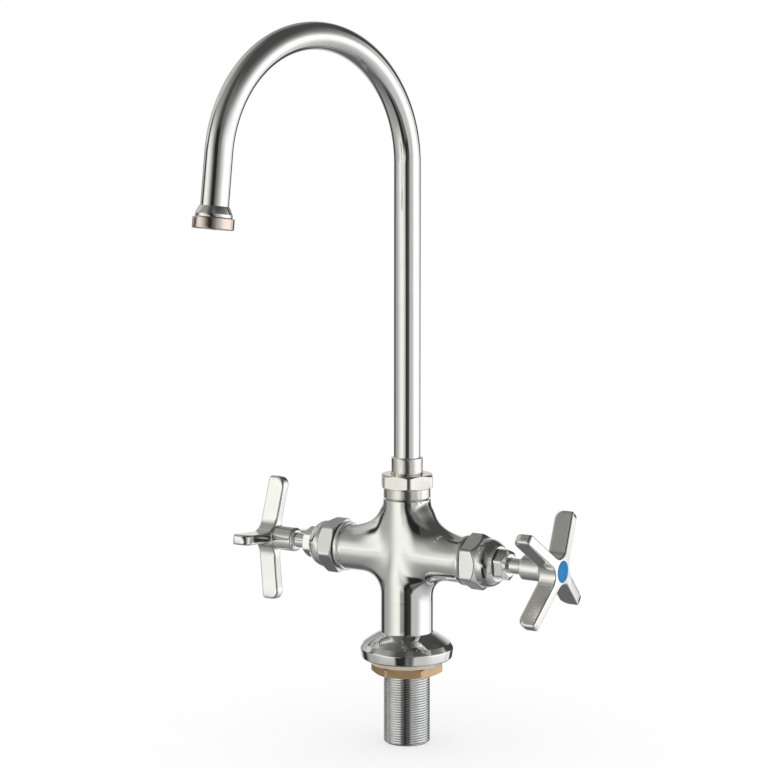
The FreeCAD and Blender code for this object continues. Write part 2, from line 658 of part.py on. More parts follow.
def spindle():
    bar = revolve([(0, JUMPER_BACK), (NOSE_R, JUMPER_BACK), (NOSE_R, SCREW_LOW),
                   (SCREW_R, SCREW_LOW), (SCREW_R, SCREW_TOP), (STEM_R, SCREW_TOP),
                   (STEM_R, DRIVE_START), (0, DRIVE_START)])
    bar = bar.fuse(drive_square(DRIVE_FLATS, DRIVE_CORNER_R, DRIVE_START, DRIVE_END))
    socket_end = JUMPER_BACK + JUMPER_STEM + JUMPER_SOCKET_SPARE
    bar = bar.cut(cylinder(JUMPER_STEM_R + RUNNING_FIT, JUMPER_BACK, socket_end))
    return bar.cut(cylinder(HANDLE_SCREW_R, DRIVE_END - SPINDLE_TAP_DEPTH, DRIVE_END))


def bonnet_washer():
    return tube(BEAD_R - BEAD_ROUND, BONNET_THREAD_R + RUNNING_FIT, ARM_END, BONNET_SEAT)


def bonnet():
    """Screwed-in head of the valve: thread, hexagon, dome and packing neck."""
    thread = cylinder(BONNET_THREAD_R - STATIC_FIT, BONNET_LOW, BONNET_SEAT)
    hexagonal = chamfered_hexagon(BONNET_FLATS, BONNET_SEAT, BONNET_HEX_END,
                                  (BONNET_BASE_RISE, BONNET_CHAMFER_RISE))
    low_in = V(0, 0, BONNET_HEX_END)
    low_out = V(DOME_R, 0, BONNET_HEX_END)
    top_out = V(DOME_TOP_R, 0, DOME_END)
    top_in = V(0, 0, DOME_END)
    dome_wire = Part.Wire([Part.makeLine(low_in, low_out),
                           arc_edge(low_out, top_out, -DOME_BELLY),
                           Part.makeLine(top_out, top_in), Part.makeLine(top_in, low_in)])
    dome = Part.Face(dome_wire).revolve(ORIGIN, UP, 360)
    neck = cylinder(PACKING_NECK_R - STATIC_FIT, DOME_END, PACKING_NECK_END)
    stop = SCREW_TOP + VALVE_LIFT + FREE_GAP
    bores = cylinder(SCREW_R + RUNNING_FIT, BONNET_LOW, stop)
    bores = bores.fuse([cylinder(STEM_R + RUNNING_FIT, stop, PACKING_FLOOR),
                        cylinder(PACKING_BOX_R, PACKING_FLOOR, PACKING_NECK_END)])
    return thread.fuse([hexagonal, dome, neck]).cut(bores).removeSplitter()


def packing():
    return tube(PACKING_BOX_R - STATIC_FIT, STEM_R + RUNNING_FIT, PACKING_FLOOR, GLAND_FACE)


def gland():
    return tube(PACKING_BOX_R - STATIC_FIT, STEM_R + RUNNING_FIT, GLAND_FACE, GLAND_BACK)


def packing_nut():
    low = DOME_END + FREE_GAP
    nut = chamfered_hexagon(PACKING_NUT_FLATS, low, PACKING_NUT_END,
                            (0.0, PACKING_NUT_CHAMFER_RISE), PACKING_NUT_TURN)
    nut = nut.cut(cylinder(PACKING_NECK_R, low, GLAND_BACK))
    return nut.cut(cylinder(STEM_R + RUNNING_FIT, GLAND_BACK, PACKING_NUT_END))


# Handle

def star_outline():
    """Plan of the four arms with a fillet in each inner corner."""
    half = ARM_THICKNESS / 2
    near = half + ARM_CORNER_R
    far = ARM_TIP_R + ARM_THICKNESS
    deepest = near - ARM_CORNER_R / math.sqrt(2)
    edges = []
    for step in range(4):
        quarter = FreeCAD.Rotation(UP, 90 * step)
        points = [V(far, -half, 0), V(far, half, 0), V(near, half, 0), V(half, near, 0),
                  V(half, far, 0)]
        tip_low, tip_high, start, end, next_tip = [quarter.multVec(p) for p in points]
        middle = quarter.multVec(V(deepest, deepest, 0))
        edges.append(Part.makeLine(tip_low, tip_high))
        edges.append(Part.makeLine(tip_high, start))
        edges.append(Part.Arc(start, middle, end).toShape())
        edges.append(Part.makeLine(end, next_tip))
    return Part.Wire(edges)


def arm_envelope():
    """Revolved side view of an arm: flat middle, swept-back arms and rounded tips."""
    front_tip = V(ARM_TIP_R, 0, HANDLE_FACE - ARM_SETBACK)
    back_tip = V(ARM_TIP_R, 0, ARM_BACK - ARM_SETBACK)
    front_flat = V(ARM_FLAT_R, 0, HANDLE_FACE)
    back_flat = V(ARM_FLAT_R, 0, ARM_BACK)
    slope = (back_tip - back_flat).normalize()
    edges = [Part.makeLine(V(0, 0, HANDLE_FACE), front_flat)]
    front_in = front_tip - slope * ARM_FRONT_ROUND
    front_out = front_tip - UP * ARM_FRONT_ROUND
    back_out = back_tip + UP * ARM_BACK_ROUND
    back_in = back_tip - slope * ARM_BACK_ROUND
    edges.append(Part.makeLine(front_flat, front_in))
    edges.append(corner_arc(front_in, front_tip, front_out))
    edges.append(Part.makeLine(front_out, back_out))
    edges.append(corner_arc(back_out, back_tip, back_in))
    edges.append(Part.makeLine(back_in, back_flat))
    edges.append(Part.makeLine(back_flat, V(0, 0, ARM_BACK)))
    edges.append(Part.makeLine(V(0, 0, ARM_BACK), V(0, 0, HANDLE_FACE)))
    return Part.Face(Part.Wire(edges)).revolve(ORIGIN, UP, 360)


def corner_arc(start, corner, end):
    """Arc tangent to both sides of a corner, from points equally far from it."""
    middle = (start + end) * 0.5
    reach = (corner - start).Length
    to_corner = (corner - middle).Length
    half_chord = (end - start).Length / 2
    radius = reach * half_chord / to_corner
    centre_gap = math.hypot(radius, reach)
    on_arc = corner + (middle - corner).normalize() * (centre_gap - radius)
    return Part.Arc(start, on_arc, end).toShape()


def handle():
    star = Part.Face(star_outline()).extrude(V(0, 0, HANDLE_FACE - HUB_START))
    star.translate(V(0, 0, HUB_START))
    spider = star.common(arm_envelope())
    hub_end = ARM_BACK + HUB_WALL
    hub = revolve([(0, HUB_START), (HUB_END_R, HUB_START), (HUB_R, HUB_START + HUB_CHAMFER),
                   (HUB_R, hub_end), (0, hub_end)])
    knob = spider.fuse(hub).removeSplitter()
    recess = cylinder(BUTTON_R + RUNNING_FIT, RECESS_FLOOR, HANDLE_FACE)
    head = cylinder(HANDLE_SCREW_HEAD_R + RUNNING_FIT, HANDLE_SCREW_SEAT, RECESS_FLOOR)
    hole = cylinder(HANDLE_SCREW_R + HANDLE_SCREW_HOLE_GAP, DRIVE_END, HANDLE_SCREW_SEAT)
    drive = drive_square(DRIVE_FLATS + 2 * STATIC_FIT, DRIVE_CORNER_R + STATIC_FIT,
                         DRIVE_START, DRIVE_END + FREE_GAP)
    counterbore = cylinder(STEM_R + RUNNING_FIT, HUB_START, DRIVE_START)
    return knob.cut(recess.fuse([head, hole, drive, counterbore]))


def handle_screw():
    screw = cylinder(HANDLE_SCREW_R - STATIC_FIT, HANDLE_SCREW_LOW, HANDLE_SCREW_SEAT)
    screw = screw.fuse(cylinder(HANDLE_SCREW_HEAD_R, HANDLE_SCREW_SEAT, RECESS_FLOOR))
    socket_low = RECESS_FLOOR - HANDLE_SCREW_HEX_DEPTH
    return screw.cut(hexagon(HANDLE_SCREW_FLATS, socket_low, RECESS_FLOOR))


def index_button():
    disc = cylinder(BUTTON_R, HANDLE_FACE - BUTTON_T, HANDLE_FACE)
    skirt_low = HANDLE_FACE - BUTTON_T - BUTTON_SKIRT
    skirt = tube(BUTTON_SKIRT_R, BUTTON_SKIRT_R - BUTTON_SKIRT_WALL, skirt_low,
                 HANDLE_FACE - BUTTON_T)
    return disc.fuse(skirt)


VALVE_PIECES = {
    "seat": seat, "seat_disc": seat_disc, "jumper": jumper, "spindle": spindle,
    "bonnet_washer": bonnet_washer, "bonnet": bonnet, "packing": packing, "gland": gland,
    "packing_nut": packing_nut, "handle": handle, "handle_screw": handle_screw,
    "index_button": index_button,
}
TURNED_WITH_HANDLE = ("spindle", "handle", "handle_screw", "index_button")
export(body(), "body")
export(shank(), "shank")
export(deck_washer(), "deck_washer")
export(lock_nut(), "lock_nut")
export(swivel_nut(), "swivel_nut")
export(bearing_rings(), "bearing_rings")
export(spout_sleeve(), "spout_sleeve")
export(spout_orings(), "spout_orings")
export(spout_tube(), "spout_tube")
export(at_outlet(outlet_adapter()), "outlet_adapter")
export(at_outlet(aerator_washer()), "aerator_washer")
export(at_outlet(aerator()), "aerator")
export(at_outlet(outlet_ring()), "outlet_ring")
for piece_name, build in VALVE_PIECES.items():
    piece = build()
    for side_name, (direction, handle_turn, bonnet_turn) in SIDES.items():
        turned_piece = piece.copy()
        if piece_name in TURNED_WITH_HANDLE:
            turned_piece.rotate(ORIGIN, UP, handle_turn)
        elif piece_name == "bonnet":
            turned_piece.rotate(ORIGIN, UP, bonnet_turn)
        export(along_valve(turned_piece, direction), side_name + "_" + piece_name)
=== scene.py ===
"""Looks of a deck-mounted mixing faucet with two cross handles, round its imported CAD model.

Sizes in the classes are millimetres, as in the part's source. Meshes are written in metres.
"""

import json
import logging
import math
from dataclasses import dataclass
from enum import Enum
from typing import Callable, Iterable, Sequence

import bmesh
import bpy
import numpy as np
from mathutils import Matrix, Vector


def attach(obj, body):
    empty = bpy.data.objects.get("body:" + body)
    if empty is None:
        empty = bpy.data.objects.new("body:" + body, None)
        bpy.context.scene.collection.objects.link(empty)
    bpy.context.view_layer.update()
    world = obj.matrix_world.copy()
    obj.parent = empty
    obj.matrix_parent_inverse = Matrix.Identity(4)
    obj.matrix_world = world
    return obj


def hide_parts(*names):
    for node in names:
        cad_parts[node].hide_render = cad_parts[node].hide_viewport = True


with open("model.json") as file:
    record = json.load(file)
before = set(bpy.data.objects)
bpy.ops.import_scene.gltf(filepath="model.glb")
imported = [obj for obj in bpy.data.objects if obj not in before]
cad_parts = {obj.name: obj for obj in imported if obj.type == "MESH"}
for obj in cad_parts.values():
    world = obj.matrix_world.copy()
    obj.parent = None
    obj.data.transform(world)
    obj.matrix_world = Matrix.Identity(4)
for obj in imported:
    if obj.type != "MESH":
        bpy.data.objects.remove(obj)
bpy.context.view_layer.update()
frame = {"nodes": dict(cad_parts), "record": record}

log = logging.getLogger("faucet")

MM = 0.001                # one millimetre, in metres
AXIS_Z = 64.0             # height of the valves' common axis
HEX_FACE_SHARE = 0.985    # radius of a hexagon's turned end face, as a share of half its flats
MILL_REACH = 2.0          # how far inside a hexagon's flats its blank is still milled
SHARP_EDGE_DEG = 34.0     # faces that meet at a wider angle make a sharp edge
WELD_M = 2e-6             # points nearer than this are sewn together, in metres
UNBROKEN = 1e9            # longest chord that leaves every straight run whole
TINY = 1e-6               # least divisor

Rgb = tuple[float, float, float]
Corner = tuple[float, float, float]           # radius, height and radius of the rounding
Field = Callable[[np.ndarray], np.ndarray]    # signed distances of an array of points
Piece = bpy.types.Object
Socket = bpy.types.NodeSocket


# Points and outlines

def eased(share: np.ndarray) -> np.ndarray:
    """Share from 0 to 1 that starts and ends gently."""
    return share * share * (3 - 2 * share)


def soft_min(first: np.ndarray, second: np.ndarray, reach: float) -> np.ndarray:
    """Smaller of two values, with the corner between them rounded.

    Args:
        first: Values.
        second: Values of the same shape.
        reach: Difference below which the two are blended.

    Returns:
        The blended values.
    """
    share = np.clip(0.5 + 0.5 * (second - first) / reach, 0.0, 1.0)
    return second * (1.0 - share) + first * share - reach * share * (1.0 - share)


def round_join(first: np.ndarray, second: np.ndarray, radius: float) -> np.ndarray:
    """Distance to two solids joined with a fillet.

    Args:
        first: Signed distances to the first solid, negative inside.
        second: Signed distances to the second solid.
        radius: Radius of the fillet in the inner corner.

    Returns:
        The signed distances to the joined solid.
    """
    legs = np.hypot(np.maximum(radius - first, 0.0), np.maximum(radius - second, 0.0))
    return np.maximum(np.minimum(first, second), radius) - legs


def round_meet(first: np.ndarray, second: np.ndarray, radius: float) -> np.ndarray:
    """Distance to what two solids have in common, with its edge rounded.

    Args:
        first: Signed distances to the first solid, negative inside.
        second: Signed distances to the second solid.
        radius: Radius of the rounded edge.

    Returns:
        The signed distances to the common solid.
    """
    return -round_join(-first, -second, radius)


def outline(corners: Sequence[Corner], steps: int = 5, longest: float = UNBROKEN) -> np.ndarray:
    """Half section of a turned piece, with rounded corners.

    Args:
        corners: Radius, height and corner radius of each corner, in order.
        steps: Chords in each rounded corner.
        longest: Longest chord of the straight runs.

    Returns:
        Points of (radius, height), one row each.
    """
    room = 0.48               # share of a straight run that a rounded corner may take
    least_reach = 1e-4
    nearly_straight = 1.565   # half the angle of a corner that is left as it is
    plan = np.array([corner[:2] for corner in corners], float)
    rounded = [plan[0]]
    for at in range(1, len(corners) - 1):
        back = plan[at - 1] - plan[at]
        ahead = plan[at + 1] - plan[at]
        back_run, ahead_run = np.linalg.norm(back), np.linalg.norm(ahead)
        back, ahead = back / back_run, ahead / ahead_run
        half = math.acos(float(np.clip(back @ ahead, -1.0, 1.0))) / 2
        reach = corners[at][2] / max(math.tan(half), TINY)
        reach = min(reach, room * back_run, room * ahead_run)
        if reach < least_reach or half > nearly_straight:
            rounded.append(plan[at])
            continue
        radius = reach * math.tan(half)
        middle = (back + ahead) / np.linalg.norm(back + ahead)
        centre = plan[at] + middle * radius / math.sin(half)
        start, end = plan[at] + back * reach - centre, plan[at] + ahead * reach - centre
        for step in range(steps + 1):
            share = step / steps
            turn = math.pi - 2 * half
            weights = (math.sin((1 - share) * turn), math.sin(share * turn))
            rounded.append(centre + (weights[0] * start + weights[1] * end) / math.sin(turn))
    rounded.append(plan[-1])
    filled = [rounded[0]]
    for start, end in zip(rounded, rounded[1:]):
        parts = max(1, math.ceil(np.linalg.norm(end - start) / longest))
        filled += [start + (end - start) * part / parts for part in range(1, parts + 1)]
    return np.array(filled)


def bowed(start: tuple[float, float], end: tuple[float, float], belly: float,
          count: int = 13, corner_r: float = 0.3) -> list[Corner]:
    """Corners of a section along a shallow arc.

    Args:
        start: Radius and height of its start.
        end: Radius and height of its end.
        belly: How far the arc stands out to the right of its chord.
        count: Number of corners.
        corner_r: Radius that smooths each of them.

    Returns:
        The corners, from start to end.
    """
    chord = np.subtract(end, start)
    outward = np.array([chord[1], -chord[0]]) / np.linalg.norm(chord)
    return [(*(start + chord * share + outward * belly * 4 * share * (1 - share)), corner_r)
            for share in np.linspace(0, 1, count)]


def turned(section: np.ndarray, segments: int = 96) -> np.ndarray:
    """Rings of a turned piece about +Z.

    Args:
        section: Points of (radius, height).
        segments: Points in each ring.

    Returns:
        Grid of points, one ring to a row.
    """
    angles = np.linspace(0, 2 * np.pi, segments, endpoint=False)
    grid = np.empty((len(section), segments, 3))
    grid[..., 0] = section[:, :1] * np.cos(angles)
    grid[..., 1] = section[:, :1] * np.sin(angles)
    grid[..., 2] = section[:, 1:]
    return grid


def whole(corners: Sequence[Corner]) -> list[Corner]:
    """Corners of a section, closed on itself where it starts off the axis."""
    return [*corners, corners[0]] if corners[0][0] > 0 else list(corners)


def raised(flat: np.ndarray, height: np.ndarray | float) -> np.ndarray:
    """Points in a plane, lifted to a height of their own or to one height for all."""
    tall = np.broadcast_to(np.asarray(height, float).reshape(-1, 1), (len(flat), 1))
    return np.concatenate([flat, tall], axis=1)


def settle(points: np.ndarray, field: Field, rounds: int = 7) -> np.ndarray:
    """Moves points onto the surface of a solid.

    Args:
        points: Points near the surface.
        field: Signed distance to the solid, of an array of points.
        rounds: Newton steps.

    Returns:
        The moved points.
    """
    nudge, least_slope = 0.01, 0.2
    moved = points.reshape(-1, 3).copy()
    for _ in range(rounds):
        slope = np.empty_like(moved)
        for axis in range(3):
            shift = np.zeros(3)
            shift[axis] = nudge
            slope[:, axis] = (field(moved + shift) - field(moved - shift)) / (2 * nudge)
        steep = np.maximum((slope ** 2).sum(axis=1), least_slope)
        moved -= slope * (field(moved) / steep)[:, None]
    return moved.reshape(points.shape)


# Meshes

class Shell:
    """Grids of points that are sewn into one closed mesh."""

    def __init__(self) -> None:
        """Starts with no grids."""
        self._points: list[np.ndarray] = []
        self._quads: list[np.ndarray] = []
        self._count = 0

    def add(self, grid: np.ndarray, wrap: bool = False) -> "Shell":
        """Adds a grid of quads.

        Args:
            grid: Points in rows and columns.
            wrap: Whether the last column joins the first.

        Returns:
            This shell, for the next grid.
        """
        rows, columns = grid.shape[:2]
        index = np.arange(rows * columns).reshape(rows, columns) + self._count
        if wrap:
            index = np.concatenate([index, index[:, :1]], axis=1)
        quads = np.stack([index[:-1, :-1], index[:-1, 1:], index[1:, 1:], index[1:, :-1]], -1)
        self._points.append(grid.reshape(-1, 3))
        self._quads.append(quads.reshape(-1, 4))
        self._count += rows * columns
        return self

    def build(self, name: str, place: Matrix = Matrix.Identity(4)) -> Piece:
        """Makes the object.

        Args:
            name: Name of the piece.
            place: Where the piece goes, in millimetres.

        Returns:
            The object, at the origin, with its place in its mesh.
        """
        mesh = bpy.data.meshes.new(name)
        points = np.concatenate(self._points)
        mesh.from_pydata(points.tolist(), [], np.concatenate(self._quads).tolist())
        mesh.transform(Matrix.Scale(MM, 4) @ place)
        return finished(mesh, name)


def finished(mesh: bpy.types.Mesh, name: str) -> Piece:
    """Sews a mesh, turns its faces outwards and shades it.

    Args:
        mesh: The mesh, in metres and in place.
        name: Name of the piece.

    Returns:
        The linked object.
    """
    sewn = bmesh.new()
    sewn.from_mesh(mesh)
    bmesh.ops.remove_doubles(sewn, verts=sewn.verts, dist=WELD_M)
    bmesh.ops.dissolve_degenerate(sewn, edges=sewn.edges, dist=WELD_M / 4)
    bmesh.ops.recalc_face_normals(sewn, faces=sewn.faces)
    sewn.to_mesh(mesh)
    sewn.free()
    mesh.shade_smooth()
    mesh.set_sharp_from_angle(angle=math.radians(SHARP_EDGE_DEG))
    piece = bpy.data.objects.new(name, mesh)
    bpy.context.scene.collection.objects.link(piece)
    return piece


def lathed(name: str, corners: Sequence[Corner], place: Matrix = Matrix.Identity(4),
           segments: int = 96, longest: float = UNBROKEN) -> Piece:
    """Turned piece, from the corners of its half section.

    Args:
        name: Name of the piece.
        corners: Radius, height and corner radius of each corner, in order.
        place: Where the piece goes, in millimetres.
        segments: Points in each ring.
        longest: Longest chord of the straight runs.

    Returns:
        The object.
    """
    section = outline(whole(corners), longest=longest)
    return Shell().add(turned(section, segments), wrap=True).build(name, place)


@dataclass(frozen=True)
class Hexagon:
    """Wrench flats that are milled on a turned blank.

    Args:
        flats: Width across the flats.
        turn_deg: Direction of a corner.
        edge: Reach of the rounding between flats and turned faces.
        corner_cut: How far the upright edges are turned off.
        corner_reach: Reach of the rounding beside them.
    """

    flats: float
    turn_deg: float
    edge: float = 0.22
    corner_cut: float = 0.25
    corner_reach: float = 0.3

    @property
    def corner_r(self) -> float:
        """Radius to the corners."""
        return self.flats / math.sqrt(3)

    @property
    def face_r(self) -> float:
        """Radius of the turned end faces."""
        return self.flats / 2 * HEX_FACE_SHARE

    def mill(self, section: np.ndarray) -> np.ndarray:
        """Rings of a turned piece whose wide part is milled to the hexagon.

        Args:
            section: Points of (radius, height) of the turned blank.

        Returns:
            Grid of points, one ring to a row.
        """
        per_corner = 26    # points from the middle of one flat to the next
        crowding = 1.5     # draws them towards the corner between the two
        spread = np.linspace(-1, 1, per_corner, endpoint=False)
        offsets = 30.0 * np.sign(spread) * np.abs(spread) ** crowding
        local = np.radians(np.concatenate([60.0 * corner + offsets for corner in range(6)]))
        across = self.flats / 2 / np.cos(np.mod(local, np.pi / 3) - np.pi / 6)
        blank_r = np.full_like(across, self.corner_r - self.corner_cut)
        across = soft_min(across, blank_r, self.corner_reach)
        milled = section[:, :1] > self.flats / 2 - MILL_REACH
        blended = soft_min(np.broadcast_to(across, (len(section), len(across))),
                           np.broadcast_to(section[:, :1], (len(section), len(across))),
                           self.edge)
        radii = np.where(milled, blended, section[:, :1])
        angles = local + math.radians(self.turn_deg)
        heights = np.broadcast_to(section[:, 1:], radii.shape)
        return np.stack([radii * np.cos(angles), radii * np.sin(angles), heights], axis=-1)

    def piece(self, name: str, corners: Sequence[Corner], place: Matrix = Matrix.Identity(4),
              steps: int = 5, longest: float = 0.4) -> Piece:
        """Turned piece with this hexagon, from the corners of its half section.

        Args:
            name: Name of the piece.
            corners: Radius, height and corner radius of each corner, in order.
            place: Where the piece goes, in millimetres.
            steps: Chords in each rounded corner.
            longest: Longest chord of the straight runs.

        Returns:
            The object.
        """
        grid = self.mill(outline(whole(corners), steps, longest))
        return Shell().add(grid, wrap=True).build(name, place)


def read_points(mesh: bpy.types.Mesh) -> np.ndarray:
    """Places of a mesh's vertices.

    Args:
        mesh: The mesh.

    Returns:
        The places, one row each.
    """
    points = np.empty(len(mesh.vertices) * 3)
    mesh.vertices.foreach_get("co", points)
    return points.reshape(-1, 3)


def write_points(mesh: bpy.types.Mesh, points: np.ndarray) -> None:
    """Moves a mesh's vertices to new places."""
    mesh.vertices.foreach_set("co", points.ravel())
    mesh.update()


def melted(piece: Piece, centre: Vector, reach: Vector, rounds: int,
           fade: float = 0.2, relax: float = 0.5, swell: float = -0.506) -> None:
    """Evens out the curvature of a mesh round a place, and keeps its volume.

    Args:
        piece: The piece, in metres.
        centre: Middle of the place.
        reach: Distances along X, Y and Z at which the effect has faded out.
        rounds: How often the mesh is relaxed and swelled again.
        fade: Share of the reach over which the effect fades.
        relax: Share of the way that a point moves to the middle of its neighbours.
        swell: Share of the way back.
    """
    mesh = piece.data
    points = read_points(mesh)
    ends = np.empty(len(mesh.edges) * 2, np.int32)
    mesh.edges.foreach_get("vertices", ends)
    ends = ends.reshape(-1, 2)
    both = np.concatenate([ends, ends[:, ::-1]])
    neighbours = np.maximum(np.bincount(both[:, 0], minlength=len(points)), 1)[:, None]
    away = np.abs((points - np.array(centre)) / np.array(reach)).max(axis=1)
    weight = np.clip((1.0 - away) / fade, 0.0, 1.0)[:, None]
    for _ in range(rounds):
        for share in (relax, swell):
            pull = np.stack([np.bincount(both[:, 0], points[both[:, 1], axis], len(points))
                             for axis in range(3)], axis=-1) / neighbours
            points = points + share * weight * (pull - points)
    write_points(mesh, points)


class Wires:
    """A node tree that is put together call by call."""

    def __init__(self, tree: bpy.types.NodeTree) -> None:
        """Takes the tree that the nodes go into."""
        self.tree = tree

    def node(self, kind: str, links: dict | None = None, **settings: object) -> bpy.types.Node:
        """Adds a node.

        Args:
            kind: Type of the node.
            links: Value or socket for each input, by the input's name or number.
            settings: Properties of the node.

        Returns:
            The node.
        """
        made = self.tree.nodes.new(kind)
        for key, value in settings.items():
            setattr(made, key, value)
        for key, value in (links or {}).items():
            if isinstance(value, Socket):
                self.tree.links.new(value, made.inputs[key])
            else:
                made.inputs[key].default_value = value
        return made

    def math(self, operation: str, *values: object) -> Socket:
        """Result of a Math node on up to three values or sockets."""
        return self.node("ShaderNodeMath", dict(enumerate(values)),
                         operation=operation).outputs[0]

    def remap(self, value: Socket, from_low: float, from_high: float,
              to_low: float, to_high: float, kind: str = "LINEAR") -> Socket:
        """Value moved from one range to another.

        Args:
            value: The value.
            from_low: Start of its range.
            from_high: End of its range.
            to_low: Start of the new range.
            to_high: End of the new range.
            kind: How it runs between the ends.

        Returns:
            The moved value, held at the ends.
        """
        return self.node("ShaderNodeMapRange",
                         {"Value": value, "From Min": from_low, "From Max": from_high,
                          "To Min": to_low, "To Max": to_high},
                         interpolation_type=kind).outputs["Result"]


class Graph(Wires):
    """A Geometry Nodes tree with named sizes, which ends as a plain mesh."""

    def __init__(self, name: str, inputs: Sequence[tuple[str, float]]) -> None:
        """Makes the tree.

        Args:
            name: Name of the tree.
            inputs: Name and value of each size that the tree takes.
        """
        super().__init__(bpy.data.node_groups.new(name, "GeometryNodeTree"))
        self.tree.interface.new_socket("Geometry", in_out="INPUT",
                                       socket_type="NodeSocketGeometry")
        self.values: dict[str, float] = {}
        for label, value in inputs:
            socket = self.tree.interface.new_socket(label, in_out="INPUT",
                                                    socket_type="NodeSocketFloat")
            self.values[socket.identifier] = value
        self.tree.interface.new_socket("Geometry", in_out="OUTPUT",
                                       socket_type="NodeSocketGeometry")
        self.entry = self.tree.nodes.new("NodeGroupInput").outputs
        self.exit = self.tree.nodes.new("NodeGroupOutput")

    def close(self, geometry: Socket, material: bpy.types.Material) -> None:
        """Ends the tree.

        Args:
            geometry: What the tree has made.
            material: Material of the result.
        """
        real = self.node("GeometryNodeRealizeInstances", {0: geometry}).outputs[0]
        dressed = self.node("GeometryNodeSetMaterial", {0: real, "Material": material})
        self.tree.links.new(dressed.outputs[0], self.exit.inputs[0])

    def apply(self, mesh: bpy.types.Mesh, name: str) -> Piece:
        """Runs the tree.

        Args:
            mesh: What goes in.
            name: Name of the piece.

        Returns:
            The piece, as a plain mesh.
        """
        blank = bpy.data.objects.new(name + "_blank", mesh)
        bpy.context.scene.collection.objects.link(blank)
        modifier = blank.modifiers.new("shape", "NODES")
        modifier.node_group = self.tree
        for identifier, value in self.values.items():
            modifier[identifier] = value
        evaluated = blank.evaluated_get(bpy.context.evaluated_depsgraph_get())
        result = bpy.data.meshes.new_from_object(evaluated)
        blank.modifiers.remove(modifier)
        bpy.data.objects.remove(blank)
        return finished(result, name)


# Finishes

class Grain(Enum):
    """How a surface was worked, which sets the direction of its fine marks."""

    POLISHED = "polished"
    BRUSHED = "brushed"
    TURNED = "turned"
    CAST = "cast"
    MOULDED = "moulded"


class Seat(Enum):
    """Axis that a finish's marks run round: place in millimetres and turn in degrees."""

    COLUMN = ((0.0, 0.0, 0.0), (0.0, 0.0, 0.0))
    VALVES = ((0.0, 0.0, AXIS_Z), (0.0, 90.0, 0.0))
    OUTLET = ((-32.0, -143.0, 305.0), (6.5, 0.0, -12.6))


MOTTLE_MM = 9.0                    # size of the faint mottles in a colour
MOTTLE_DETAIL = 3.0
MOTTLE_RANGE = (0.35, 0.65)        # noise over which a shade turns into its colour
MARKS_RANGE = (0.3, 0.7)           # height of marks over which glossy turns into rough
POLISHED_DETAIL = 2.0
WORKED_DETAIL = 4.0
LEAST_ROUGHNESS = 0.01
BRUSH_SWIRL = (0.04, 0.04, 0.0)    # how far brushed marks run out of round


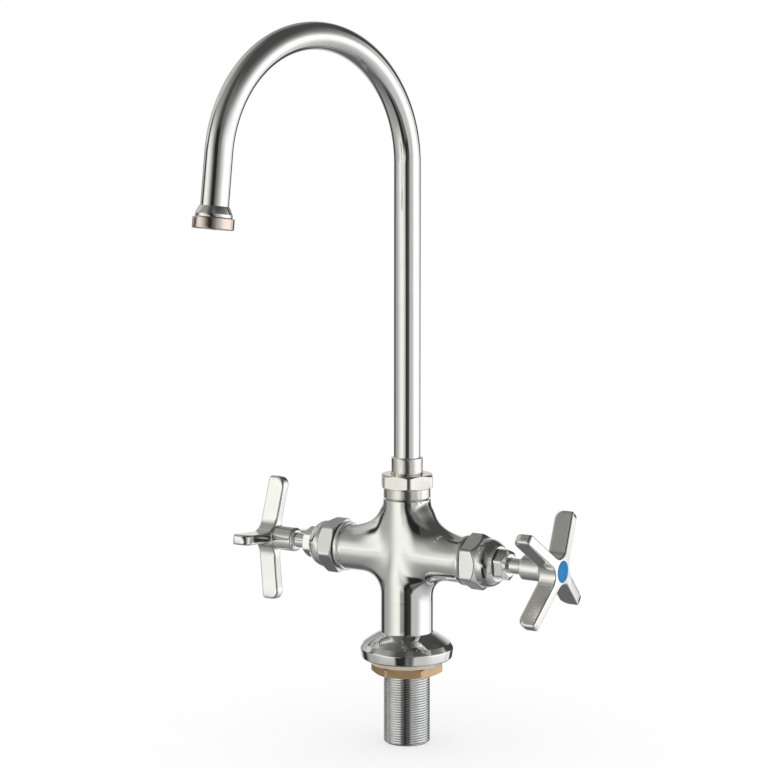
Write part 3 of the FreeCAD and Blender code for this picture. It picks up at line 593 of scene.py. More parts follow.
@dataclass(frozen=True)
class Finish:
    """A surface of metal, plastic or rubber, with its colour, gloss and fine marks.

    Args:
        slot: Name of its material slot.
        colour: Colour of most of it.
        shade: Colour of its faint mottles.
        metallic: 1 for bare metal, 0 for what isn't metal.
        roughness: Middle of its roughness.
        spread: How far the roughness varies to either side.
        grain: How the surface was worked.
        grain_mm: Size of its fine marks.
        relief_mm: Height of its fine marks.
        specular: Gloss of what isn't metal.
    """

    slot: str
    colour: Rgb
    shade: Rgb
    metallic: float = 1.0
    roughness: float = 0.06
    spread: float = 0.03
    grain: Grain = Grain.POLISHED
    grain_mm: float = 1.0
    relief_mm: float = 0.0004
    specular: float = 0.5

    def material(self, seat: Seat = Seat.COLUMN) -> bpy.types.Material:
        """Material of this finish on a piece.

        Args:
            seat: Axis of the piece.

        Returns:
            The material, made once for each axis.
        """
        name = f"{self.slot}_{seat.name.lower()}"
        known = bpy.data.materials.get(name)
        if known:
            return known
        made = bpy.data.materials.new(name)
        made.use_nodes = True
        wires = Wires(made.node_tree)
        link = made.node_tree.links.new
        shader = made.node_tree.nodes["Principled BSDF"]
        shader.inputs["Metallic"].default_value = self.metallic
        shader.inputs["Specular IOR Level"].default_value = self.specular
        place = self._place(wires, seat)
        mottle = self._noise(wires, place, MOTTLE_MM, MOTTLE_DETAIL)
        factor = wires.remap(mottle, *MOTTLE_RANGE, 0.0, 1.0)
        tint = wires.node("ShaderNodeMix", {"A": (*self.shade, 1.0), "B": (*self.colour, 1.0),
                                            "Factor": factor}, data_type="RGBA")
        link(tint.outputs["Result"], shader.inputs["Base Color"])
        marks = self._marks(wires, place)
        low = max(self.roughness - self.spread, LEAST_ROUGHNESS)
        gloss = wires.remap(marks, *MARKS_RANGE, low, self.roughness + self.spread)
        link(gloss, shader.inputs["Roughness"])
        bump = wires.node("ShaderNodeBump", {"Height": marks, "Distance": self.relief_mm * MM})
        link(bump.outputs["Normal"], shader.inputs["Normal"])
        return made

    @staticmethod
    def _place(wires: Wires, seat: Seat) -> Socket:
        """Object coordinates with +Z along the piece's axis.

        Args:
            wires: The material's node tree.
            seat: Axis of the piece.

        Returns:
            The coordinates.
        """
        place, turn = seat.value
        coordinates = wires.node("ShaderNodeTexCoord").outputs["Object"]
        return wires.node("ShaderNodeMapping",
                          {"Vector": coordinates, "Location": [value * MM for value in place],
                           "Rotation": [math.radians(value) for value in turn]},
                          vector_type="TEXTURE").outputs["Vector"]

    @staticmethod
    def _noise(wires: Wires, vector: Socket, size_mm: float,
               detail: float) -> Socket:
        """Noise between 0 and 1.

        Args:
            wires: The material's node tree.
            vector: Where the noise is read.
            size_mm: Size of its marks.
            detail: How many finer layers it has.

        Returns:
            The noise.
        """
        return wires.node("ShaderNodeTexNoise", {"Vector": vector, "Detail": detail,
                                                 "Scale": 1.0 / (size_mm * MM)}).outputs["Fac"]

    def _marks(self, wires: Wires, place: Socket) -> Socket:
        """Height of the fine marks that the grain leaves.

        Args:
            wires: The material's node tree.
            place: Coordinates with +Z along the piece's axis.

        Returns:
            The height, between 0 and 1.
        """
        vector = place
        if self.grain in (Grain.TURNED, Grain.BRUSHED):
            parts = wires.node("ShaderNodeSeparateXYZ", {0: place}).outputs
            flat = wires.node("ShaderNodeCombineXYZ", {0: parts[0], 1: parts[1]}).outputs[0]
            reach = wires.node("ShaderNodeVectorMath", {0: flat}, operation="LENGTH")
            vector = wires.node("ShaderNodeCombineXYZ", {0: reach.outputs["Value"],
                                                         1: parts[2]}).outputs[0]
            if self.grain is Grain.BRUSHED:
                vector = wires.node("ShaderNodeVectorMath",
                                    {0: flat, 1: BRUSH_SWIRL, 2: vector},
                                    operation="MULTIPLY_ADD").outputs[0]
        detail = POLISHED_DETAIL if self.grain is Grain.POLISHED else WORKED_DETAIL
        return self._noise(wires, vector, self.grain_mm, detail)


CHROME: Rgb = (0.87, 0.87, 0.86)
CHROME_SHADE: Rgb = (0.83, 0.83, 0.815)

FINISHES = {finish.slot: finish for finish in (
    Finish("polished_chrome", CHROME, CHROME_SHADE, roughness=0.075, spread=0.015,
           grain_mm=2.5, relief_mm=0.0004),
    Finish("satin_chrome", (0.94, 0.935, 0.92), (0.90, 0.895, 0.875), roughness=0.10,
           spread=0.03, grain_mm=1.6, relief_mm=0.001),
    Finish("brushed_nickel", (0.84, 0.82, 0.78), (0.79, 0.765, 0.72), roughness=0.20,
           spread=0.06, grain=Grain.BRUSHED, grain_mm=0.35, relief_mm=0.002),
    Finish("warm_nickel", (0.82, 0.73, 0.66), (0.74, 0.63, 0.55), roughness=0.15,
           spread=0.04, grain=Grain.TURNED, grain_mm=0.3, relief_mm=0.002),
    Finish("plated_thread", (0.78, 0.79, 0.79), (0.70, 0.71, 0.71), roughness=0.09,
           spread=0.04, grain_mm=0.8, relief_mm=0.001),
    Finish("raw_brass", (0.62, 0.43, 0.25), (0.55, 0.37, 0.20), metallic=0.6, roughness=0.32,
           spread=0.06, grain=Grain.BRUSHED, grain_mm=0.5, relief_mm=0.001),
    Finish("cream_brass", (0.95, 0.86, 0.73), (0.90, 0.79, 0.65), metallic=0.5,
           roughness=0.40, spread=0.06, grain=Grain.TURNED, grain_mm=0.3, relief_mm=0.003),
    Finish("steel_screw", (0.62, 0.62, 0.62), (0.52, 0.52, 0.52), roughness=0.3,
           spread=0.06, grain=Grain.TURNED, grain_mm=0.3, relief_mm=0.003),
    Finish("seal_rubber", (0.05, 0.05, 0.05), (0.03, 0.03, 0.03), metallic=0.0,
           roughness=0.6, grain=Grain.MOULDED, grain_mm=0.5, relief_mm=0.01),
    Finish("washer_fibre", (0.06, 0.045, 0.04), (0.04, 0.03, 0.028), metallic=0.0,
           roughness=0.7, grain=Grain.CAST, grain_mm=0.4, relief_mm=0.02),
    Finish("packing_ptfe", (0.90, 0.90, 0.88), (0.84, 0.84, 0.82), metallic=0.0,
           roughness=0.45, grain=Grain.MOULDED, grain_mm=0.6, relief_mm=0.006),
    Finish("joint_plastic", (0.88, 0.88, 0.86), (0.82, 0.82, 0.80), metallic=0.0,
           roughness=0.35, grain=Grain.MOULDED, grain_mm=0.6, relief_mm=0.006),
    Finish("cold_blue", (0.003, 0.23, 0.55), (0.003, 0.20, 0.49), metallic=0.0,
           roughness=0.35, grain=Grain.MOULDED, grain_mm=0.6, relief_mm=0.003, specular=0.12),
    Finish("hot_red", (0.60, 0.012, 0.01), (0.53, 0.01, 0.008), metallic=0.0,
           roughness=0.35, grain=Grain.MOULDED, grain_mm=0.6, relief_mm=0.003, specular=0.12),
)}


def dress(piece: Piece, body: str, nodes: Iterable[str], slot: str,
          seat: Seat = Seat.COLUMN) -> Piece:
    """Gives a piece its finish and its place in the model.

    Args:
        piece: The finished piece.
        body: CAD body that it moves with.
        nodes: CAD nodes that it stands for.
        slot: Name of its finish.
        seat: Axis of the piece.

    Returns:
        The piece.
    """
    piece.data.materials.clear()
    piece.data.materials.append(FINISHES[slot].material(seat))
    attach(piece, body)
    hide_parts(*nodes)
    log.info("%s: %d faces, on %s", piece.name, len(piece.data.polygons), body)
    return piece


# The faucet's pieces

@dataclass(frozen=True)
class Contacts:
    """Where a ball rolled round an arm touches column and arm, one row for each place."""

    angle: np.ndarray      # angle round the arm
    z: np.ndarray          # height at which the ball touches the column
    turn: np.ndarray       # direction in which it does, from the front
    slope: np.ndarray      # slope of the column there
    lean: np.ndarray       # level share of the column's normal there
    ball: np.ndarray       # radius of the ball
    centre: np.ndarray     # place of the ball
    rise: np.ndarray       # from 0 at the lowest place to 1 at the highest
    stretch: np.ndarray    # how far the fillet is drawn out along the arm


@dataclass
class BodyCasting:
    """Flange, column and two arms of the casting, with rolled fillets at the crossing."""

    rim_low_r: float = 26.6
    recess_r: float = 24.9
    recess_depth: float = 0.6
    flange_r: float = 27.4
    rim_bevel: float = 0.8
    rim_top_r: float = 28.2
    rim_top: float = 6.2
    shoulder_r: float = 26.2
    shoulder_z: float = 9.5
    cone_belly: float = 0.3
    column_r: float = 15.7
    cone_top_z: float = 16.0
    crossing_low_z: float = 42.0
    neck_r: float = 14.3
    neck_start_z: float = 86.0
    neck_top_z: float = 97.3
    joint_r: float = 11.98
    joint_top_z: float = 105.0
    spigot_r: float = 9.05
    spigot_low_z: float = 85.0
    arm_r: float = 13.8
    arm_end: float = 44.5
    bead_r: float = 15.0
    bead_width: float = 3.0
    bead_approach: float = 6.0
    chamber_r: float = 11.02
    chamber_low: float = 31.0
    low_fillet_r: float = 14.5        # ball that rolls round the arm, at its lowest place
    high_fillet_r: float = 19.0       # and at its highest
    high_fillet_reach: float = 5.0    # how far the fillet is drawn out there
    neck_pull: float = 0.34           # length of its curve's handle beside the neck, 1 if round
    arm_pull: float = 1.65            # and beside the arm
    front_ring: float = 2.0           # how much further out the ball rolls at the front
    front_power: int = 6              # how soon that fades above and below
    low_blend: float = 16.5           # width of the blend under the arm
    high_blend: float = 34.0          # and above it
    low_power: float = 2.4            # how tight the blend is under the arm, where 2 is round
    high_power: float = 3.0           # and above it
    blend_along: float = 38.4         # where the blend has faded out along the arms
    blend_above: float = 32.6         # above their axis
    blend_below: float = 37.0         # and below it
    blend_fade: float = 0.22          # share of those reaches over which it fades
    blend_depth: float = 2.2          # points further than this from the blend stay
    melt_reach: tuple[float, float, float] = (38.0, 90.0, 31.0)
    melt_rounds: int = 60
    half_columns: int = 48
    loop_rows: int = 44
    fillet_steps: int = 24
    arm_chords: int = 12

    def column_radius(self, height: np.ndarray) -> np.ndarray:
        """Radius of the column: wide below the crossing, slimmer above it.

        Args:
            height: Heights between the cone and the neck's top.

        Returns:
            The radii.
        """
        span = (self.neck_start_z - self.crossing_low_z) / 2
        place = np.clip((height - self.crossing_low_z) / span, 0.0, 2.0)
        middle_slope = (self.neck_r - self.column_r) / 2
        lower, upper = np.clip(place, 0, 1), np.clip(place - 1, 0, 1)
        first = self.column_r + (self.neck_r - self.column_r) * eased(lower)
        first = first + middle_slope * (lower ** 3 - lower ** 2)
        second = self.neck_r + middle_slope * (upper ** 3 - 2 * upper ** 2 + upper)
        return np.where(place < 1, first, second)

    def contacts(self) -> Contacts:
        """Rolls a ball round an arm.

        Returns:
            Where it touches column and arm, for the quarter that faces -Y and +X.
        """
        angle = np.radians(np.linspace(-90, 90, self.loop_rows + 1))
        rise = (1 + np.sin(angle)) / 2
        corner = self.low_fillet_r + (self.high_fillet_r - self.low_fillet_r) * rise
        widening = (self.front_ring - 1) * np.cos(angle) ** self.front_power
        ring = (self.arm_r + corner) * (1 + widening)
        ball = ring - self.arm_r
        centre_z = AXIS_Z + ring * np.sin(angle)
        centre_y = -ring * np.cos(angle)
        contact_z = centre_z.copy()
        rounds, step = 12, 0.05
        for _ in range(rounds):
            slope = (self.column_radius(contact_z + step)
                     - self.column_radius(contact_z - step)) / (2 * step)
            lean = 1.0 / np.sqrt(1.0 + slope ** 2)
            contact_z = centre_z + ball * slope * lean
        reach = self.column_radius(contact_z) + ball * lean
        centre_x = np.sqrt(np.maximum(reach ** 2 - centre_y ** 2, 0.0))
        return Contacts(angle=angle, z=contact_z, turn=np.arctan2(centre_x, -centre_y),
                        slope=slope, lean=lean, ball=ball,
                        centre=np.stack([centre_x, centre_y, centre_z], axis=-1),
                        rise=rise ** 2, stretch=self.high_fillet_reach * rise ** 2)

    def strip(self, touch: Contacts) -> np.ndarray:
        """Front of the column between the two fillets.

        Args:
            touch: Where the ball touches column and arm.

        Returns:
            Grid of points.
        """
        share = np.linspace(-1, 1, self.half_columns + 1)
        turn = touch.turn[:, None] * share
        radius = self.column_radius(touch.z)[:, None]
        height = np.broadcast_to(touch.z[:, None], turn.shape)
        return np.stack([radius * np.sin(turn), -radius * np.cos(turn), height], axis=-1)

    def fillet(self, touch: Contacts) -> np.ndarray:
        """Front fillet on the +X side, from the column to the arm.

        Each row is the arc that the ball leaves. Towards the top it is drawn out along the arm
        and turns away from the neck sooner.

        Args:
            touch: Where the ball touches column and arm.

        Returns:
            Grid of points.
        """
        lean, slope = touch.lean, touch.slope
        from_column = -np.stack([np.sin(touch.turn) * lean, -np.cos(touch.turn) * lean,
                                 -slope * lean], axis=-1)
        from_arm = -np.stack([np.zeros_like(lean), -np.cos(touch.angle),
                              np.sin(touch.angle)], axis=-1)
        dot = np.clip((from_column * from_arm).sum(axis=-1, keepdims=True), -1.0, 1.0)
        swing = np.arccos(dot)
        ball, stretch = touch.ball[:, None], touch.stretch[:, None]
        rise = touch.rise[:, None]
        leave = (from_arm - dot * from_column) / np.sin(swing)
        arrive = (dot * from_arm - from_column) / np.sin(swing)
        handle = 4 / 3 * np.tan(swing / 4) * ball
        start = touch.centre + ball * from_column
        end = touch.centre + ball * from_arm + stretch * np.array([1.0, 0.0, 0.0])
        pulls = (start, start + handle * (1 + (self.neck_pull - 1) * rise) * leave,
                 end - handle * (1 + (self.arm_pull - 1) * rise) * arrive, end)
        share = np.linspace(0, 1, self.fillet_steps + 1)[None, :, None]
        return sum(math.comb(3, at) * (1 - share) ** (3 - at) * share ** at * pull[:, None]
                   for at, pull in enumerate(pulls))

    def arm(self, touch: Contacts) -> np.ndarray:
        """Front half of the +X arm, out to its bead and back into its chamber.

        Args:
            touch: Where the ball touches column and arm.

        Returns:
            Grid of points.
        """
        angle = touch.angle
        start_x = touch.centre[:, 0] + touch.stretch
        bead_low = self.arm_end - self.bead_width
        plain_x = self.arm_end - self.bead_approach
        end = outline([(self.arm_r, plain_x, 0.0), (self.arm_r, bead_low, 0.25),
                       (self.bead_r, bead_low, 0.8), (self.bead_r, self.arm_end, 0.8),
                       (self.chamber_r, self.arm_end, 0.3),
                       (self.chamber_r, self.chamber_low, 0.0), (0.0, self.chamber_low, 0.0)])
        share = np.linspace(0, 1, self.arm_chords, endpoint=False)
        run_x = start_x[:, None] + (plain_x - start_x[:, None]) * share
        run_r = np.full_like(run_x, self.arm_r)
        x = np.concatenate([run_x, np.broadcast_to(end[:, 1], (len(angle), len(end)))], axis=1)
        r = np.concatenate([run_r, np.broadcast_to(end[:, 0], (len(angle), len(end)))], axis=1)
        return np.stack([x, -r * np.cos(angle)[:, None], AXIS_Z + r * np.sin(angle)[:, None]],
                        axis=-1)

    def skin(self, points: np.ndarray) -> np.ndarray:
        """Signed distance to column and arms with the blend that the castings have.

        The blend is widest where the two meet at a right angle, and fades where they face
        the same way, so that the front stays level.

        Args:
            points: Points in millimetres.

        Returns:
            The distances, negative inside.
        """
        reach = np.hypot(points[:, 0], points[:, 1])
        height = points[:, 2] - AXIS_Z
        out = np.hypot(points[:, 1], height)
        column, arm = reach - self.column_radius(points[:, 2]), out - self.arm_r
        facing = points[:, 1] ** 2 / np.maximum(reach * out, TINY)
        rise = (1 + height / np.maximum(out, TINY)) / 2
        least = 0.02
        size = (self.low_blend + (self.high_blend - self.low_blend) * rise) * (1 - facing) + least
        power = self.low_power + (self.high_power - self.low_power) * rise
        near = (np.maximum(1 - column / size, 0) ** power
                + np.maximum(1 - arm / size, 0) ** power)
        return np.maximum(size, np.minimum(column, arm)) - size * near ** (1 / power)

    def blended(self, piece: Piece) -> None:
        """Draws the crossing of a finished casting onto the blended skin.

        Args:
            piece: The casting.
        """
        points = read_points(piece.data) / MM
        up = points[:, 2] - AXIS_Z
        away = np.maximum(np.abs(points[:, 0]) / self.blend_along,
                          np.where(up > 0, up / self.blend_above, -up / self.blend_below))
        fade = eased(np.clip((1.0 - away) / self.blend_fade, 0.0, 1.0))
        weight = fade * (np.abs(self.skin(points)) < self.blend_depth)
        moved = weight > 0
        drawn = settle(points[moved][None], self.skin)[0]
        points[moved] += weight[moved][:, None] * (drawn - points[moved])
        write_points(piece.data, points * MM)

    def build(self) -> Piece:
        """Makes the casting.

        Returns:
            The piece.
        """
        touch = self.contacts()
        shell = Shell()
        quarter = [self.fillet(touch), self.arm(touch)]
        strip = self.strip(touch)
        for flip_y in (1, -1):
            shell.add(strip * (1, flip_y, 1))
            for flip_x in (1, -1):
                for grid in quarter:
                    shell.add(grid * (flip_x, flip_y, 1))
        low, high = touch.z[0], touch.z[-1]
        foot = outline([(0.0, self.recess_depth, 0.0), (self.recess_r, self.recess_depth, 0.0),
                        (self.recess_r, 0.0, 0.15), (self.rim_low_r, 0.0, 0.3),
                        (self.flange_r, self.rim_bevel, 0.5), (self.rim_top_r, self.rim_top, 1.8),
                        *bowed((self.shoulder_r, self.shoulder_z),
                               (self.column_r, self.cone_top_z), self.cone_belly)[:-1],
                        (self.column_r, self.cone_top_z, 1.2), (self.column_r, low, 0.0)],
                       steps=7, longest=3.0)
        head = outline([(self.neck_r, high, 0.0), (self.neck_r, self.neck_top_z, 0.5),
                        (self.joint_r, self.neck_top_z, 0.1),
                        (self.joint_r, self.joint_top_z, 0.3),
                        (self.spigot_r, self.joint_top_z, 0.2),
                        (self.spigot_r, self.spigot_low_z, 0.0), (0.0, self.spigot_low_z, 0.0)])
        for section in (foot, head):
            shell.add(turned(section, 2 * self.half_columns), wrap=True)
        piece = shell.build("body_casting")
        self.blended(piece)
        melted(piece, Vector((0, 0, AXIS_Z)) * MM, Vector(self.melt_reach) * MM,
               self.melt_rounds)
        return dress(piece, "faucet_body", ["body"], "polished_chrome")


@dataclass
class DeckFixing:
    """Threaded shank, washer and lock nut."""

    shank_r: float = 14.0
    shank_low: float = -52.0
    shank_high: float = 10.0
    pitch: float = 1.5
    thread_depth: float = 0.4
    crest_share: float = 0.30          # share of the pitch from a crest's middle to its flank
    root_share: float = 0.44           # and to the flank's foot
    thread_sides: int = 96
    thread_rows: int = 372
    thread_crease_deg: float = 60.0    # faces that meet at a wider angle make a sharp edge
    end_chamfer: float = 1.0
    supply_r: float = 4.55
    supply_offset: float = 6.5
    supply_depth: float = 12.0
    washer_r: float = 24.6
    washer_low_r: float = 21.5
    washer_bore_r: float = 14.3
    washer_top: float = 0.6
    washer_low: float = -3.4
    nut_low: float = -9.3
    nut_bore_r: float = 13.53
    nut_chamfer: float = 1.0
    hexagon: Hexagon = Hexagon(flats=38.0, turn_deg=25.8)

    def build(self) -> None:
        """Makes the three pieces."""
        self.thread()
        self.washer()
        self.nut()

    def thread(self) -> Piece:
        """Shank with a right-handed helical thread, and its two inlets.

        Returns:
            The piece.
        """
        sizes = {"Radius": self.shank_r, "Low": self.shank_low, "High": self.shank_high,
                 "Pitch": self.pitch, "Depth": self.thread_depth, "Chamfer": self.end_chamfer}
        graph = Graph("helical_thread", [(name, size * MM) for name, size in sizes.items()])
        radius, low, high, pitch, depth, chamfer = (graph.entry[at] for at in range(1, 7))
        length = graph.math("SUBTRACT", high, low)
        bar = graph.node("GeometryNodeMeshCylinder",
                         {"Vertices": self.thread_sides, "Side Segments": self.thread_rows,
                          "Radius": radius, "Depth": length},
                         fill_type="TRIANGLE_FAN").outputs["Mesh"]
        place = graph.node("ShaderNodeSeparateXYZ",
                           {0: graph.node("GeometryNodeInputPosition").outputs[0]}).outputs
        middle = graph.math("MULTIPLY", graph.math("ADD", high, low), 0.5)
        height = graph.math("ADD", place[2], middle)
        turn = graph.math("DIVIDE", graph.math("ARCTAN2", place[1], place[0]), 2 * math.pi)
        phase = graph.math("SUBTRACT", graph.math("DIVIDE", height, pitch), turn)
        saw = graph.math("PINGPONG", phase, 0.5)
        flank = graph.node("ShaderNodeMapRange",
                           {"Value": saw, "From Min": self.crest_share,
                            "From Max": self.root_share}).outputs["Result"]
        crest = graph.math("SUBTRACT", radius, graph.math("MULTIPLY", depth, flank))
        rise = graph.math("SUBTRACT", height, low)
        turned_off = graph.math("ADD", graph.math("SUBTRACT", radius, chamfer), rise)
        limit = graph.math("MINIMUM", crest, turned_off)
        reach = graph.math("SQRT", graph.math("ADD", graph.math("POWER", place[0], 2.0),
                                              graph.math("POWER", place[1], 2.0)))
        scale = graph.math("DIVIDE", limit, graph.math("MAXIMUM", reach, TINY))
        on_wall = graph.math("GREATER_THAN", reach, 0.1 * MM)
        factor = graph.math("ADD", graph.math("MULTIPLY", scale, on_wall),
                            graph.math("SUBTRACT", 1.0, on_wall))
        moved = graph.node("ShaderNodeCombineXYZ", {0: graph.math("MULTIPLY", place[0], factor),
                                                    1: graph.math("MULTIPLY", place[1], factor),
                                                    2: height}).outputs[0]
        wound = graph.node("GeometryNodeSetPosition", {"Geometry": bar, "Position": moved})
        graph.close(wound.outputs[0], FINISHES["plated_thread"].material())
        piece = graph.apply(bpy.data.meshes.new("shank_blank"), "shank_thread")
        self.drill(piece)
        return dress(piece, "faucet_body", ["shank"], "plated_thread")

    def drill(self, piece: Piece) -> None:
        """Cuts the two supply inlets into the shank's lower end.

        Args:
            piece: The shank.
        """
        start, top = self.shank_low - 1, self.shank_low + self.supply_depth
        corners = [(0.0, start, 0.0), (self.supply_r, start, 0.0),
                   (self.supply_r, top, 0.0), (0.0, top, 0.0)]
        for side in (1, -1):
            place = Matrix.Translation((side * self.supply_offset, 0, 0))
            drill = lathed("inlet_drill", corners, place, segments=48)
            cut = piece.modifiers.new("inlet", "BOOLEAN")
            cut.object = drill
            cut.operation = "DIFFERENCE"
            cut.solver = "EXACT"
            evaluated = piece.evaluated_get(bpy.context.evaluated_depsgraph_get())
            piece.data = bpy.data.meshes.new_from_object(evaluated)
            piece.modifiers.clear()
            bpy.data.objects.remove(drill)
        piece.data.set_sharp_from_angle(angle=math.radians(self.thread_crease_deg))

    def washer(self) -> Piece:
        """Tapered brass washer under the flange.

        Returns:
            The piece.
        """
        piece = lathed("washer", [
            (self.washer_bore_r, self.washer_top, 0.0),
            (self.washer_bore_r, self.washer_low, 0.2), (self.washer_low_r, self.washer_low, 0.5),
            (self.washer_r, 0.0, 0.6), (self.washer_r, self.washer_top, 0.1)], segments=144)
        return dress(piece, "faucet_body", ["deck_washer"], "cream_brass")

    def nut(self) -> Piece:
        """Brass hexagon lock nut.

        Returns:
            The piece.
        """
        face_r, corner_r = self.hexagon.face_r, self.hexagon.corner_r
        piece = self.hexagon.piece("deck_nut", [
            (self.nut_bore_r, self.washer_low, 0.0), (face_r, self.washer_low, 0.2),
            (corner_r, self.washer_low - self.nut_chamfer, 0.1),
            (corner_r, self.nut_low + self.nut_chamfer, 0.1), (face_r, self.nut_low, 0.2),
            (self.nut_bore_r, self.nut_low, 0.3)], longest=0.3)
        return dress(piece, "faucet_body", ["lock_nut"], "raw_brass")


@dataclass
class SpoutJoint:
    """Swivel nut on the neck and the sleeve that turns in it."""

    skirt_r: float = 14.1
    skirt_low: float = 97.6
    skirt_bevel: float = 0.9
    hex_low: float = 104.0
    nut_top: float = 112.5
    hex_chamfer: float = 1.3
    thread_r: float = 12.0
    joint_top: float = 105.0
    cavity_r: float = 11.15
    shoulder: float = 109.0
    throat_r: float = 9.7
    sleeve_r: float = 9.4
    sleeve_top: float = 122.5
    spigot_r: float = 9.0
    spigot_low: float = 85.3
    flange_r: float = 11.1
    flange_low: float = 106.0
    flange_top: float = 108.0
    tube_r: float = 8.02
    bore_r: float = 6.5
    hexagon: Hexagon = Hexagon(flats=30.0, turn_deg=6.0, edge=0.25, corner_cut=0.6,
                               corner_reach=0.15)

    def build(self) -> None:
        """Makes the two pieces."""
        self.nut()
        self.sleeve()

    def nut(self) -> Piece:
        """Swivel nut: a round skirt under a hexagon.

        Returns:
            The piece.
        """
        face_r, corner_r = self.hexagon.face_r, self.hexagon.corner_r
        piece = self.hexagon.piece("spout_nut", [
            (self.thread_r, self.joint_top, 0.0), (self.thread_r, self.skirt_low, 0.0),
            (self.skirt_r - self.skirt_bevel, self.skirt_low, 0.2),
            (self.skirt_r, self.skirt_low + self.skirt_bevel, 0.4),
            (self.skirt_r, self.hex_low, 0.2), (face_r, self.hex_low, 0.15),
            (corner_r, self.hex_low + self.hex_chamfer, 0.2),
            (corner_r, self.nut_top - self.hex_chamfer, 0.2), (face_r, self.nut_top, 0.3),
            (self.throat_r, self.nut_top, 0.3), (self.throat_r, self.shoulder, 0.0),
            (self.cavity_r, self.shoulder, 0.0), (self.cavity_r, self.joint_top, 0.0)])
        return dress(piece, "faucet_body", ["swivel_nut"], "brushed_nickel")

    def sleeve(self) -> Piece:
        """Sleeve that is soldered to the spout's tube.

        Returns:
            The piece.
        """
        piece = lathed("spout_collar", [
            (self.bore_r, self.spigot_low, 0.0), (self.spigot_r, self.spigot_low, 0.2),
            (self.spigot_r, self.flange_low, 0.0), (self.flange_r, self.flange_low, 0.1),
            (self.flange_r, self.flange_top, 0.1), (self.sleeve_r, self.flange_top, 0.0),
            (self.sleeve_r, self.sleeve_top, 0.45), (self.tube_r, self.sleeve_top, 0.1),
            (self.tube_r, self.flange_low, 0.0), (self.bore_r, self.flange_low, 0.0)],
            longest=4.0)
        return dress(piece, "spout", ["spout_sleeve"], "brushed_nickel")


